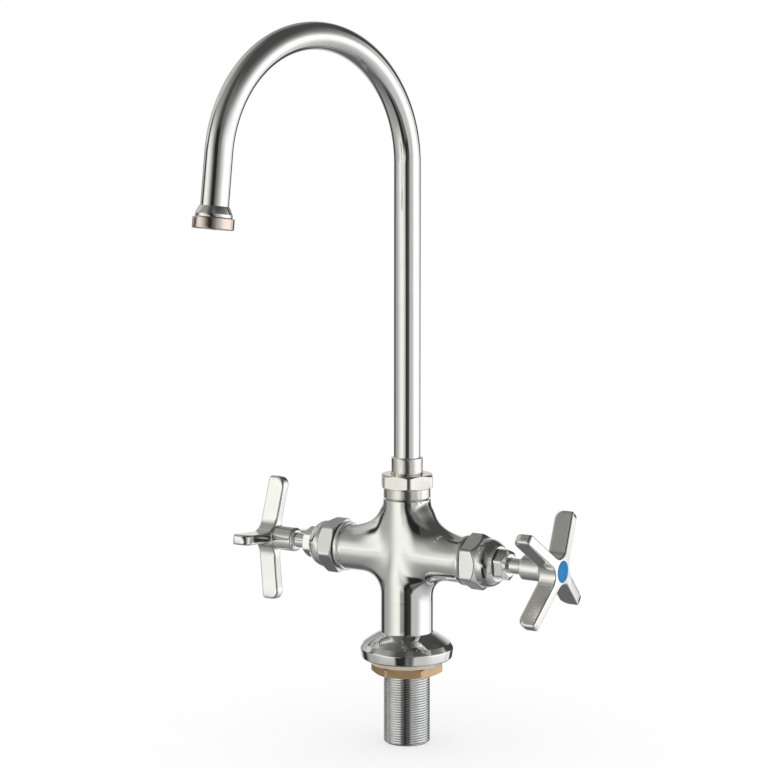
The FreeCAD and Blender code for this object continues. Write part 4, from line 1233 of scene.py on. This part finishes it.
@dataclass
class Gooseneck:
    """Spout tube with a half-turn bend, and the fittings at its outlet."""

    tube_r: float = 7.98
    start_z: float = 106.0
    bend_start_z: float = 298.0
    bend_r: float = 73.4
    sweep_deg: float = 173.5
    straight: float = 29.2    # from the end of the bend to the adapter
    socket: float = 4.0       # how far the tube reaches into the adapter
    azimuth_deg: float = 257.4
    bend_chords: int = 120
    sides: int = 72
    adapter_lip_r: float = 8.5
    adapter_r: float = 10.4
    adapter_cone: float = 4.4
    adapter_belly: float = 0.1
    adapter_length: float = 6.2
    spigot_r: float = 9.9
    spigot_length: float = 3.0
    bore_r: float = 7.2
    pocket_r: float = 8.3
    pocket_depth: float = 4.3
    ring_r: float = 11.7
    ring_length: float = 6.6
    ring_chamfer: float = 0.5
    ring_lip: float = 5.2
    mouth_r: float = 8.7
    fit: float = 0.02         # gap between two pieces that are joined

    def bend(self, angle: float) -> Vector:
        """Point of the bend's centreline, in the plane of X and Z, at an angle from its start."""
        return Vector((self.bend_r * (1 - math.cos(angle)), 0,
                       self.bend_start_z + self.bend_r * math.sin(angle)))

    def outlet(self) -> Matrix:
        """Frame at the end of the bend.

        Returns:
            The frame, with +Z along the water's way out.
        """
        sweep = math.radians(self.sweep_deg)
        turn = Matrix.Rotation(math.radians(self.azimuth_deg), 4, "Z")
        return turn @ Matrix.Translation(self.bend(sweep)) @ Matrix.Rotation(sweep, 4, "Y")

    def route(self) -> list[Vector]:
        """Points of the tube's centreline.

        Returns:
            The points, from the sleeve to the adapter.
        """
        turn = Matrix.Rotation(math.radians(self.azimuth_deg), 3, "Z")
        sweep = math.radians(self.sweep_deg)
        points = [Vector((0, 0, self.start_z))]
        points += [self.bend(sweep * step / self.bend_chords)
                   for step in range(self.bend_chords + 1)]
        points = [turn @ point for point in points]
        return points + [self.outlet() @ Vector((0, 0, self.straight + self.socket))]

    def build(self) -> None:
        """Makes the tube, the adapter and the ring."""
        self.tube()
        self.adapter()
        self.ring()

    def tube(self) -> Piece:
        """Tube swept along its centreline.

        Returns:
            The piece.
        """
        graph = Graph("swept_tube", [("Radius", self.tube_r * MM)])
        route = graph.node("GeometryNodeMeshToCurve", {0: graph.entry[0]}).outputs[0]
        section = graph.node("GeometryNodeCurvePrimitiveCircle",
                             {"Resolution": self.sides, "Radius": graph.entry[1]}).outputs[0]
        swept = graph.node("GeometryNodeCurveToMesh", {"Curve": route, "Profile Curve": section,
                                                       "Fill Caps": True}).outputs[0]
        graph.close(swept, FINISHES["polished_chrome"].material())
        points = [tuple(point * MM) for point in self.route()]
        blank = bpy.data.meshes.new("spout_route")
        blank.from_pydata(points, [(at, at + 1) for at in range(len(points) - 1)], [])
        piece = graph.apply(blank, "gooseneck")
        return dress(piece, "spout", ["spout_tube"], "polished_chrome")

    def adapter(self) -> Piece:
        """Flared cone that is soldered to the tube's end.

        Returns:
            The piece.
        """
        start, shoulder = self.straight, self.straight + self.adapter_length
        end = shoulder + self.spigot_length
        tube_r = self.tube_r + self.fit
        cone = bowed((self.adapter_lip_r, start), (self.adapter_r, start + self.adapter_cone),
                     self.adapter_belly)
        piece = lathed("outlet_cone", [
            (tube_r, start, 0.0), *cone, (self.adapter_r, shoulder, 0.2),
            (self.spigot_r, shoulder, 0.0), (self.spigot_r, end, 0.0), (self.pocket_r, end, 0.0),
            (self.pocket_r, end - self.pocket_depth, 0.0),
            (self.bore_r, end - self.pocket_depth, 0.0), (self.bore_r, start + self.socket, 0.0),
            (tube_r, start + self.socket, 0.0)], self.outlet())
        return dress(piece, "spout", ["outlet_adapter"], "polished_chrome", Seat.OUTLET)

    def ring(self) -> Piece:
        """Ring that holds the aerator.

        Returns:
            The piece.
        """
        start = self.straight + self.adapter_length
        end = start + self.ring_length
        bore_r = self.spigot_r + self.fit
        chamfer = self.ring_chamfer
        piece = lathed("aerator_ring", [
            (bore_r, start, 0.1), (self.ring_r - chamfer, start, 0.15),
            (self.ring_r, start + chamfer, 0.25), (self.ring_r, end - chamfer, 0.25),
            (self.ring_r - chamfer, end, 0.15), (self.mouth_r, end, 0.2),
            (self.mouth_r, start + self.ring_lip, 0.0), (bore_r, start + self.ring_lip, 0.0)],
            self.outlet(), segments=120, longest=1.0)
        return dress(piece, "spout", ["outlet_ring"], "warm_nickel", Seat.OUTLET)


@dataclass(frozen=True)
class Side:
    """One side of the faucet: its direction along X and how its pieces are turned."""

    name: str
    direction: int
    handle_deg: float
    bonnet_deg: float
    button_slot: str

    def axis(self, turn_deg: float = 0.0) -> Matrix:
        """Turns a piece built along +Z onto the valve's axis.

        Args:
            turn_deg: Turn of the piece about its own axis.

        Returns:
            The place, in millimetres.
        """
        swing = Matrix.Rotation(math.radians(90 * self.direction), 4, "Y")
        spin = Matrix.Rotation(math.radians(turn_deg), 4, "Z")
        return Matrix.Translation((0, 0, AXIS_Z)) @ swing @ spin


SIDES = (Side("cold", 1, handle_deg=52.5, bonnet_deg=0.0, button_slot="cold_blue"),
         Side("hot", -1, handle_deg=6.0, bonnet_deg=18.3, button_slot="hot_red"))


@dataclass
class ValveHead:
    """Bonnet, packing nut and spindle of one side."""

    side: Side
    flats: float = 30.0
    seat: float = 45.5               # where the hexagon meets the body
    hex_end: float = 55.8
    base_rise: float = 0.6           # length of the hexagon's inner chamfer
    top_rise: float = 2.6            # and of its outer chamfer
    dome_r: float = 14.3
    dome_top_r: float = 10.5
    dome_end: float = 64.8
    dome_belly: float = 1.4
    dome_foot_share: float = 0.97    # radius where it ends, as a share of half the flats
    thread_r: float = 10.98
    thread_low: float = 34.5
    bore_r: float = 6.05
    bore_end: float = 52.3
    stem_bore_r: float = 4.65
    packing_floor: float = 65.5
    packing_box_r: float = 5.9
    neck_r: float = 6.98
    neck_end: float = 69.8
    nut_low: float = 65.1
    nut_end: float = 72.2
    nut_flats: float = 17.0
    nut_turn: float = 9.0
    nut_rise: float = 2.0
    nut_face_r: float = 6.7
    nut_bore_r: float = 7.0
    gland_back: float = 70.2
    socket_r: float = 2.45
    socket_end: float = 41.0
    spindle_low: float = 31.0
    nose_r: float = 4.2
    screw_low: float = 34.0
    screw_top: float = 48.5
    screw_r: float = 6.0
    stem_r: float = 4.6
    stem_end: float = 81.2
    drive_r: float = 3.9
    drive_end: float = 93.0

    def build(self) -> None:
        """Makes the three pieces."""
        self.bonnet()
        self.packing_nut()
        self.spindle()

    def bonnet(self) -> Piece:
        """Hexagon and dome of the valve's head.

        Returns:
            The piece.
        """
        side = self.side.name
        hexagon = Hexagon(self.flats, self.side.bonnet_deg, edge=0.3, corner_cut=0.3)
        face_r, corner_r = hexagon.face_r, hexagon.corner_r
        foot_r = self.flats / 2 * self.dome_foot_share
        dome = bowed((self.dome_r, self.hex_end), (self.dome_top_r, self.dome_end),
                     self.dome_belly)
        piece = hexagon.piece(f"{side}_valve_bonnet", [
            (self.stem_bore_r, self.bore_end, 0.0), (self.bore_r, self.bore_end, 0.0),
            (self.bore_r, self.thread_low, 0.0), (self.thread_r, self.thread_low, 0.3),
            (self.thread_r, self.seat, 0.0), (face_r, self.seat, 0.15),
            (corner_r, self.seat + self.base_rise, 0.2),
            (corner_r, self.hex_end - self.top_rise, 0.5), (foot_r, self.hex_end, 0.3), *dome,
            (self.neck_r, self.dome_end, 0.0), (self.neck_r, self.neck_end, 0.2),
            (self.packing_box_r, self.neck_end, 0.1),
            (self.packing_box_r, self.packing_floor, 0.0),
            (self.stem_bore_r, self.packing_floor, 0.0)], self.side.axis(), steps=6)
        return dress(piece, "faucet_body", [f"{side}_bonnet"], "polished_chrome", Seat.VALVES)

    def packing_nut(self) -> Piece:
        """Small hexagon nut round the stem.

        Returns:
            The piece.
        """
        side = self.side.name
        hexagon = Hexagon(self.nut_flats, self.nut_turn)
        piece = hexagon.piece(f"{side}_stem_nut", [
            (self.nut_bore_r, self.gland_back, 0.0), (self.nut_bore_r, self.nut_low, 0.0),
            (hexagon.corner_r, self.nut_low, 0.1),
            (hexagon.corner_r, self.nut_end - self.nut_rise, 0.3),
            (self.nut_face_r, self.nut_end, 0.3), (self.stem_bore_r, self.nut_end, 0.2),
            (self.stem_bore_r, self.gland_back, 0.0)], self.side.axis(), longest=0.25)
        return dress(piece, "faucet_body", [f"{side}_packing_nut"], "satin_chrome", Seat.VALVES)

    def spindle(self) -> Piece:
        """Stem with its screw inside the bonnet and its drive inside the handle.

        Returns:
            The piece.
        """
        side = self.side.name
        piece = lathed(f"{side}_stem", [
            (0.0, self.socket_end, 0.0), (self.socket_r, self.socket_end, 0.0),
            (self.socket_r, self.spindle_low, 0.0), (self.nose_r, self.spindle_low, 0.2),
            (self.nose_r, self.screw_low, 0.0), (self.screw_r, self.screw_low, 0.3),
            (self.screw_r, self.screw_top, 0.3), (self.stem_r, self.screw_top, 0.0),
            (self.stem_r, self.stem_end, 0.0), (self.drive_r, self.stem_end, 0.0),
            (self.drive_r, self.drive_end, 0.2), (0.0, self.drive_end, 0.0)],
            self.side.axis(), segments=72, longest=4.0)
        return dress(piece, f"{side}_spindle", [f"{side}_spindle"], "satin_chrome", Seat.VALVES)


@dataclass
class CrossHandle:
    """Four-arm handle of one side, with its index button."""

    side: Side
    face: float = 107.0         # height of the flat round the button, from the faucet's middle
    arm_back: float = 95.0      # height of the back of the arms beside the hub
    half: float = 3.2           # half of an arm's width
    tip_r: float = 38.5
    setback: float = 4.8        # how far the tips are swept back
    flat_r: float = 9.0         # where the sweep starts
    corner_r: float = 8.5       # round corner between two arms
    tip_side_round: float = 1.4
    tip_middle: float = 0.6     # last point of the outline before the tip's middle
    tip_front_round: float = 1.6
    tip_back_round: float = 6.0
    sweep_round: float = 0.6    # reach of the rounding where the sweep starts
    front_edge: float = 0.9
    back_edge: float = 1.5
    hub_start: float = 80.4
    hub_r: float = 7.4
    hub_end_r: float = 5.8
    hub_chamfer: float = 1.2
    hub_edge: float = 0.4
    hub_end_edge: float = 0.2
    hub_overlap: float = 6.0    # how far under the face the hub's barrel ends
    hub_fillet: float = 0.7
    bore_edge: float = 0.2
    recess_edge: float = 0.15
    recess_r: float = 6.3
    recess_floor: float = 101.4
    stem_bore_r: float = 4.65
    counterbore: float = 0.8
    button_r: float = 6.25
    button_t: float = 2.2
    button_crown: float = 0.02
    button_rim: float = 0.8
    button_drop: float = 0.25
    skirt_r: float = 5.5
    skirt_t: float = 1.0
    skirt_low: float = 102.2
    weld: float = 0.004         # points of two quarters nearer than this are sewn together

    def slope_line(self, reach: np.ndarray, height: np.ndarray, level: float) -> np.ndarray:
        """Signed distance above the swept-back line that starts at the flat's edge.

        Args:
            reach: Distances from the handle's axis.
            height: Heights along it.
            level: Height of the flat.

        Returns:
            The distances, negative below the line.
        """
        run = self.tip_r - self.flat_r
        length = math.hypot(run, self.setback)
        return ((height - level) * run + (reach - self.flat_r) * self.setback) / length

    def distance(self, points: np.ndarray) -> np.ndarray:
        """Signed distance to the handle without its recess.

        Args:
            points: Points in the handle's own frame.

        Returns:
            The distances, negative inside.
        """
        reach = np.hypot(points[:, 0], points[:, 1])
        height = points[:, 2]
        along = np.maximum(np.abs(points[:, 0]), np.abs(points[:, 1]))
        across = np.minimum(np.abs(points[:, 0]), np.abs(points[:, 1]))
        star = round_join(across - self.half, along - self.half, self.corner_r)
        front = -soft_min(self.face - height, -self.slope_line(reach, height, self.face),
                          self.sweep_round)
        back = soft_min(self.arm_back - height,
                        -self.slope_line(reach, height, self.arm_back), self.sweep_round)
        tip = reach - self.tip_r
        front_side = round_meet(front, tip, self.tip_front_round)
        back_side = round_meet(back, tip, self.tip_back_round)
        spider = np.maximum(round_meet(star, front_side, self.front_edge),
                            round_meet(star, back_side, self.back_edge))
        chamfer = math.hypot(self.hub_chamfer, self.hub_r - self.hub_end_r)
        bevel = ((reach - self.hub_end_r) * self.hub_chamfer
                 - (height - self.hub_start) * (self.hub_r - self.hub_end_r)) / chamfer
        barrel = round_meet(reach - self.hub_r, bevel, self.hub_edge)
        barrel = round_meet(barrel, self.hub_start - height, self.hub_end_edge)
        barrel = np.maximum(barrel, height - self.face + self.hub_overlap)
        return round_join(spider, barrel, self.hub_fillet)

    def plan(self) -> tuple[np.ndarray, np.ndarray]:
        """Outline of one arm from one inner corner to the next.

        Returns:
            The points and their outward normals.
        """
        corner_points, side_points, tip_points = 11, 18, 6
        near, round_r = self.half + self.corner_r, self.tip_side_round
        points, normals = [], []
        for angle in np.radians(np.linspace(135, 90, corner_points)):
            spoke = np.array([math.cos(angle), math.sin(angle)])
            points.append(np.array([near, -near]) + self.corner_r * spoke)
            normals.append(-spoke)
        for x in np.linspace(near, self.tip_r - round_r, side_points)[1:-1]:
            points.append(np.array([x, -self.half]))
            normals.append(np.array([0.0, -1.0]))
        for angle in np.radians(np.linspace(-90, 0, tip_points)):
            spoke = np.array([math.cos(angle), math.sin(angle)])
            points.append(np.array([self.tip_r - round_r, round_r - self.half]) + round_r * spoke)
            normals.append(spoke)
        points.append(np.array([self.tip_r, -self.tip_middle]))
        normals.append(np.array([1.0, 0.0]))
        lower, facing = np.array(points), np.array(normals)
        flip = np.array([1.0, -1.0])
        return (np.concatenate([lower, lower[::-1] * flip]),
                np.concatenate([facing, facing[::-1] * flip]))

    def drop(self, reach: np.ndarray) -> np.ndarray:
        """How far the arms are swept back at distances from the axis."""
        return np.maximum(reach - self.flat_r, 0) * self.setback / (self.tip_r - self.flat_r)

    def swept(self, start: np.ndarray, end: np.ndarray, shares: Iterable[float],
              level: float) -> list[np.ndarray]:
        """Rows of points on a swept-back face, from one outline to another.

        Args:
            start: Points of the first outline in plan.
            end: Points of the second outline.
            shares: Shares of the way at which the rows lie.
            level: Height of the face at the axis.

        Returns:
            The rows.
        """
        rows = [start + (end - start) * share for share in shares]
        return [raised(row, level - self.drop(np.linalg.norm(row, axis=1))) for row in rows]

    def quarter(self) -> np.ndarray:
        """One arm with its share of face and hub.

        Returns:
            Grid of points, from the recess over the arm to the hub and its bore.
        """
        front_shares = (0.25, 0.5, 0.7, 0.88, 1.0)
        back_shares = (0.0, 0.1, 0.25, 0.45, 0.7, 1.0)
        front_rows, side_rows, back_rows = 12, 24, 14
        front_inset, front_room = 1.2, 0.75    # in from the edge, and share of the way at most
        back_inset, back_room = 1.9, 0.6
        hub_gap = 0.02
        hub_heights = (94.6, 94.2, 93.6, 92.0, 89.0, 86.0, 83.5, 82.2, 81.8, 81.5, 81.2)
        hub_foot = ((6.8, 0.7), (6.3, 0.35), (6.0, 0.1), (5.8, 0.0), (5.5, 0.0))
        edge, facing = self.plan()
        reach = np.linalg.norm(edge, axis=1, keepdims=True)
        spoke = edge / reach
        top, low = self.face - self.drop(reach), self.arm_back - self.drop(reach)
        inner = spoke * (self.recess_r + self.recess_edge)
        room = reach - self.recess_r - self.recess_edge
        inset = edge - facing * np.minimum(front_inset, front_room * room)
        rows = self.swept(inner, inset, np.linspace(0, 1, front_rows + 1)[1:], self.face)
        rows += self.swept(inset, edge, front_shares, self.face)
        for step in range(1, side_rows):
            share = (1 - math.cos(math.pi * step / side_rows)) / 2
            rows.append(raised(edge, top + (low - top) * share))
        ring = spoke * (self.hub_r + hub_gap)
        inset = edge - facing * np.minimum(back_inset, back_room * (reach - self.hub_r))
        rows += self.swept(edge, inset, back_shares, self.arm_back)
        rows += self.swept(inset, ring, np.linspace(0, 1, back_rows + 1)[1:], self.arm_back)
        rows += [raised(ring, height) for height in hub_heights]
        rows += [raised(spoke * radius, self.hub_start + rise) for radius, rise in hub_foot]
        skin = settle(np.stack(rows), self.distance)
        bore_end = self.hub_start + self.counterbore
        recess = ((0.0, self.recess_floor), (self.recess_r, self.recess_floor),
                  (self.recess_r, self.face - self.recess_edge),
                  (self.recess_r + self.recess_edge, self.face))
        bore = ((self.stem_bore_r + self.bore_edge, self.hub_start),
                (self.stem_bore_r, self.hub_start + self.bore_edge),
                (self.stem_bore_r, bore_end), (0.0, bore_end))
        first, last = (np.stack([raised(spoke * radius, height) for radius, height in part])
                       for part in (recess, bore))
        return np.concatenate([first, skin, last])

    def build(self) -> None:
        """Makes the handle and its button."""
        self.handle()
        self.button()

    def handle(self) -> Piece:
        """Handle of four equal quarters about its axis.

        Returns:
            The piece.
        """
        side, slot = self.side.name, "satin_chrome"
        quarter = Shell().add(self.quarter()).build("handle_quarter")
        graph = Graph("four_arms", [("Arms", 4.0), ("Weld", self.weld * MM)])
        arms = graph.node("GeometryNodeMeshLine", {"Count": graph.entry[1],
                                                   "Offset": (0.0, 0.0, 0.0)}).outputs[0]
        index = graph.node("GeometryNodeInputIndex").outputs[0]
        step = graph.math("DIVIDE", 2 * math.pi, graph.entry[1])
        spin = graph.node("ShaderNodeCombineXYZ", {2: graph.math("MULTIPLY", index, step)})
        spread = graph.node("GeometryNodeInstanceOnPoints",
                            {"Points": arms, "Instance": graph.entry[0],
                             "Rotation": spin.outputs[0]}).outputs[0]
        real = graph.node("GeometryNodeRealizeInstances", {0: spread}).outputs[0]
        sewn = graph.node("GeometryNodeMergeByDistance",
                          {"Geometry": real, "Distance": graph.entry[2]}).outputs[0]
        material = FINISHES[slot].material(Seat.VALVES)
        graph.close(sewn, material)
        source = quarter.data
        bpy.data.objects.remove(quarter)
        piece = graph.apply(source, f"{side}_cross_handle")
        place = self.side.axis(self.side.handle_deg)
        piece.data.transform(Matrix.Scale(MM, 4) @ place @ Matrix.Scale(1 / MM, 4))
        return dress(piece, f"{side}_spindle", [f"{side}_handle"], slot, Seat.VALVES)

    def button(self) -> Piece:
        """Coloured button in the handle's face.

        Returns:
            The piece.
        """
        side = self.side.name
        disc_low = self.face - self.button_t
        inner_r = self.skirt_r - self.skirt_t
        piece = lathed(f"{side}_button", [
            (0.0, self.face, 0.0),
            (self.button_r - self.button_rim, self.face - self.button_crown, 1.0),
            (self.button_r, self.face - self.button_drop, 0.2), (self.button_r, disc_low, 0.1),
            (self.skirt_r, disc_low, 0.0), (self.skirt_r, self.skirt_low, 0.1),
            (inner_r, self.skirt_low, 0.1), (inner_r, disc_low, 0.0), (0.0, disc_low, 0.0)],
            self.side.axis(self.side.handle_deg), segments=72)
        return dress(piece, f"{side}_spindle", [f"{side}_index_button"], self.side.button_slot,
                     Seat.VALVES)


@dataclass
class KeptPieces:
    """CAD pieces that keep their shape and get their finish, with the axis of each group."""

    seats: tuple[tuple[str, Seat], ...] = (("cold", Seat.VALVES), ("hot", Seat.VALVES),
                                           ("aerator", Seat.OUTLET))

    def build(self) -> None:
        """Gives each shown CAD node the material of its slot."""
        slots = {row["node"]: row["material_slot"] for row in frame["record"]["subparts"]}
        for name, node in frame["nodes"].items():
            if node.hide_render:
                continue
            seat = next((seat for group, seat in self.seats if name.startswith(group)),
                        Seat.COLUMN)
            node.data.materials.clear()
            node.data.materials.append(FINISHES[slots[name]].material(seat))
            log.info("%s: CAD piece with finish %s", name, slots[name])


# Studio

@dataclass(frozen=True)
class Panel:
    """A soft light, or a dark flag, somewhere round the faucet. Angles are in degrees.

    Args:
        around: Direction of its middle, to the right of the camera's side.
        half_width: Half of its width.
        width_feather: Width over which its sides fade.
        up: Direction of its middle above the horizon.
        half_height: Half of its height.
        height_feather: Height over which its top and bottom fade.
        light: Its colour.
        lean: How much further round it stands above the horizon than below it.
    """

    around: float
    half_width: float
    width_feather: float
    up: float
    half_height: float
    height_feather: float
    light: Rgb
    lean: float = 0.0

    def share(self, wires: Wires, around: Socket, up: Socket,
              rise: Socket) -> Socket:
        """How much of the panel shows in a direction, from 0 to 1.

        Args:
            wires: The world's node tree.
            around: Degrees round to the right.
            up: Degrees up.
            rise: From 0 below the horizon to 1 above it, where the panel leans over.

        Returns:
            The share.
        """
        leaning = wires.math("MULTIPLY_ADD", rise, self.lean, self.around)
        turned_by = wires.math("SUBTRACT", around, leaning)
        across = wires.math("ABSOLUTE", wires.math("WRAP", turned_by, 180.0, -180.0))
        tall = wires.math("ABSOLUTE", wires.math("SUBTRACT", up, self.up))
        wide, high = (wires.remap(away, half - feather / 2, half + feather / 2, 1.0, 0.0,
                                  "SMOOTHSTEP")
                      for away, half, feather in (
                          (across, self.half_width, self.width_feather),
                          (tall, self.half_height, self.height_feather)))
        return wires.math("MULTIPLY", wide, high)


@dataclass
class Studio:
    """Pale floor, soft light and the camera."""

    floor_z: float = -52.0
    floor_radii: tuple[float, ...] = (0.0, 200.0, 600.0, 2600.0)
    floor_t: float = 5.0
    floor_cloud: float = 3.0                           # scale of the floor's faint clouds
    floor_tones: tuple[float, float] = (0.985, 1.0)    # their darkest and lightest tones
    glow_radii: tuple[float, float] = (60.0, 260.0)    # where the floor turns white for the camera
    least_glow: float = 0.55                           # how white it is under the faucet
    wall_rise: tuple[float, float] = (-50.0, 35.0)     # degrees up, from ground to ceiling
    horizon: tuple[float, float] = (-8.0, 12.0)        # degrees up over which panels lean
    lens_mm: float = 112.5
    sensor_mm: float = 36.0
    sight_m: float = 20.0                              # how far the camera sees, in metres
    distance: float = 1425.0
    camera_z: float = 335.2
    around_deg: float = 302.4
    pitch_deg: float = 6.75
    yaw_deg: float = 0.555
    ceiling: Rgb = (0.072, 0.072, 0.07)
    ground: Rgb = (0.135, 0.137, 0.14)
    lights: tuple[Panel, ...] = (
        Panel(-63, 56, 35, 3, 53, 70, (0.33, 0.33, 0.31), -37),
        Panel(-45, 27, 50, 0, 24, 28, (0.61, 0.61, 0.575), -40),
        Panel(85, 68, 10, -21, 41, 69, (0.475, 0.475, 0.475), -14),
        Panel(90, 31, 34, -6, 15, 39, (0.85, 0.85, 0.85), -27),
        Panel(170, 40, 14, -7, 27, 25, (0.54, 0.54, 0.54), -24),
        Panel(-159, 45, 16, 26, 27, 14, (0.19, 0.19, 0.187), 13),
    )
    flags: tuple[Panel, ...] = (
        Panel(-17, 14, 8, -39, 28, 18, (0.025, 0.025, 0.024), 20),
        Panel(3, 15, 7, 4, 21, 5, (0.022, 0.022, 0.021), -17),
        Panel(13, 11, 10, 24, 25, 40, (0.18, 0.18, 0.175), -5),
        Panel(-132, 9, 12, -4, 34, 20, (0.03, 0.03, 0.03), 30),
        Panel(154, 16, 10, 2, 42, 20, (0.06, 0.06, 0.06), -20),
    )

    def build(self) -> None:
        """Makes the studio."""
        self.floor()
        self.world()
        self.camera()

    def floor(self) -> Piece:
        """Round white floor under the faucet, which reflections look through.

        Returns:
            The floor.
        """
        low, rim_r = self.floor_z - self.floor_t, self.floor_radii[-1]
        corners = [(radius, self.floor_z, 0.0) for radius in self.floor_radii]
        corners += [(rim_r, low, 0.0), (0.0, low, 0.0)]
        piece = lathed("studio_floor", corners, segments=64)
        made = bpy.data.materials.new("pale_floor")
        made.use_nodes = True
        made.node_tree.nodes.clear()
        wires = Wires(made.node_tree)
        place = wires.node("ShaderNodeTexCoord").outputs["Object"]
        cloud = wires.node("ShaderNodeTexNoise",
                           {"Vector": place, "Scale": self.floor_cloud}).outputs["Fac"]
        tone = wires.remap(cloud, *MARKS_RANGE, *self.floor_tones)
        paint = wires.node("ShaderNodeBsdfDiffuse", {"Color": tone}).outputs[0]
        clear = wires.node("ShaderNodeBsdfTransparent").outputs[0]
        path = wires.node("ShaderNodeLightPath").outputs
        away = wires.node("ShaderNodeVectorMath", {0: place}, operation="LENGTH").outputs["Value"]
        near, far = (radius * MM for radius in self.glow_radii)
        glow = wires.remap(away, near, far, self.least_glow, 1.0, "SMOOTHSTEP")
        shown = wires.math("MULTIPLY", glow, path["Is Camera Ray"])
        white = wires.node("ShaderNodeEmission", {"Color": (1.0, 1.0, 1.0, 1.0)}).outputs[0]
        pale = wires.node("ShaderNodeMixShader", {0: shown, 1: paint, 2: white}).outputs[0]
        surface = wires.node("ShaderNodeMixShader", {0: path["Is Glossy Ray"], 1: pale,
                                                     2: clear}).outputs[0]
        wires.node("ShaderNodeOutputMaterial", {0: surface})
        piece.data.materials.append(made)
        return piece

    def world(self) -> None:
        """White surroundings, in which metal sees soft lights and dark flags."""
        world = bpy.data.worlds.new("studio")
        bpy.context.scene.world = world
        world.use_nodes = True
        world.cycles.sampling_method = "NONE"
        wires = Wires(world.node_tree)
        direction = wires.node("ShaderNodeTexCoord").outputs["Generated"]
        turned_to = wires.node("ShaderNodeVectorRotate",
                               {"Vector": direction, "Angle": -math.radians(self.around_deg)},
                               rotation_type="Z_AXIS").outputs[0]
        parts = wires.node("ShaderNodeSeparateXYZ", {0: turned_to}).outputs
        around = wires.math("DEGREES", wires.math("ARCTAN2", parts[1], parts[0]))
        up = wires.math("DEGREES", wires.math("ARCSINE", parts[2]))
        level = wires.remap(up, *self.wall_rise, 0.0, 1.0, "SMOOTHSTEP")
        rise = wires.remap(up, *self.horizon, 0.0, 1.0, "SMOOTHSTEP")
        sight = wires.node("ShaderNodeMix", {"A": (*self.ground, 1.0), "B": (*self.ceiling, 1.0),
                                             "Factor": level}, data_type="RGBA").outputs["Result"]
        for panels, blend in ((self.lights, "ADD"), (self.flags, "MIX")):
            for panel in panels:
                sight = wires.node("ShaderNodeMix",
                                   {"A": sight, "B": (*panel.light, 1.0),
                                    "Factor": panel.share(wires, around, up, rise)},
                                   data_type="RGBA", blend_type=blend).outputs["Result"]
        path = wires.node("ShaderNodeLightPath").outputs["Is Glossy Ray"]
        seen = wires.node("ShaderNodeMix", {"A": (1.0, 1.0, 1.0, 1.0), "B": sight,
                                            "Factor": path}, data_type="RGBA")
        world.node_tree.links.new(seen.outputs["Result"],
                                  world.node_tree.nodes["Background"].inputs["Color"])

    def camera(self) -> Piece:
        """Camera at the photograph's viewing angle.

        Returns:
            The camera.
        """
        data = bpy.data.cameras.new("camera")
        data.lens = self.lens_mm
        data.sensor_width = self.sensor_mm
        data.clip_end = self.sight_m
        camera = bpy.data.objects.new("camera", data)
        around = math.radians(self.around_deg)
        camera.location = (self.distance * MM * math.cos(around),
                           self.distance * MM * math.sin(around), self.camera_z * MM)
        camera.rotation_euler = (math.radians(90 - self.pitch_deg), 0.0,
                                 around + math.radians(90 + self.yaw_deg))
        bpy.context.scene.collection.objects.link(camera)
        bpy.context.scene.camera = camera
        bpy.context.scene.view_settings.view_transform = "Standard"
        return camera


def main() -> None:
    """Builds the faucet and its studio."""
    logging.basicConfig(level=logging.INFO, format="%(name)s: %(message)s")
    BodyCasting().build()
    DeckFixing().build()
    SpoutJoint().build()
    Gooseneck().build()
    for side in SIDES:
        ValveHead(side).build()
        CrossHandle(side).build()
    KeptPieces().build()
    Studio().build()


if __name__ == "__main__":
    main()
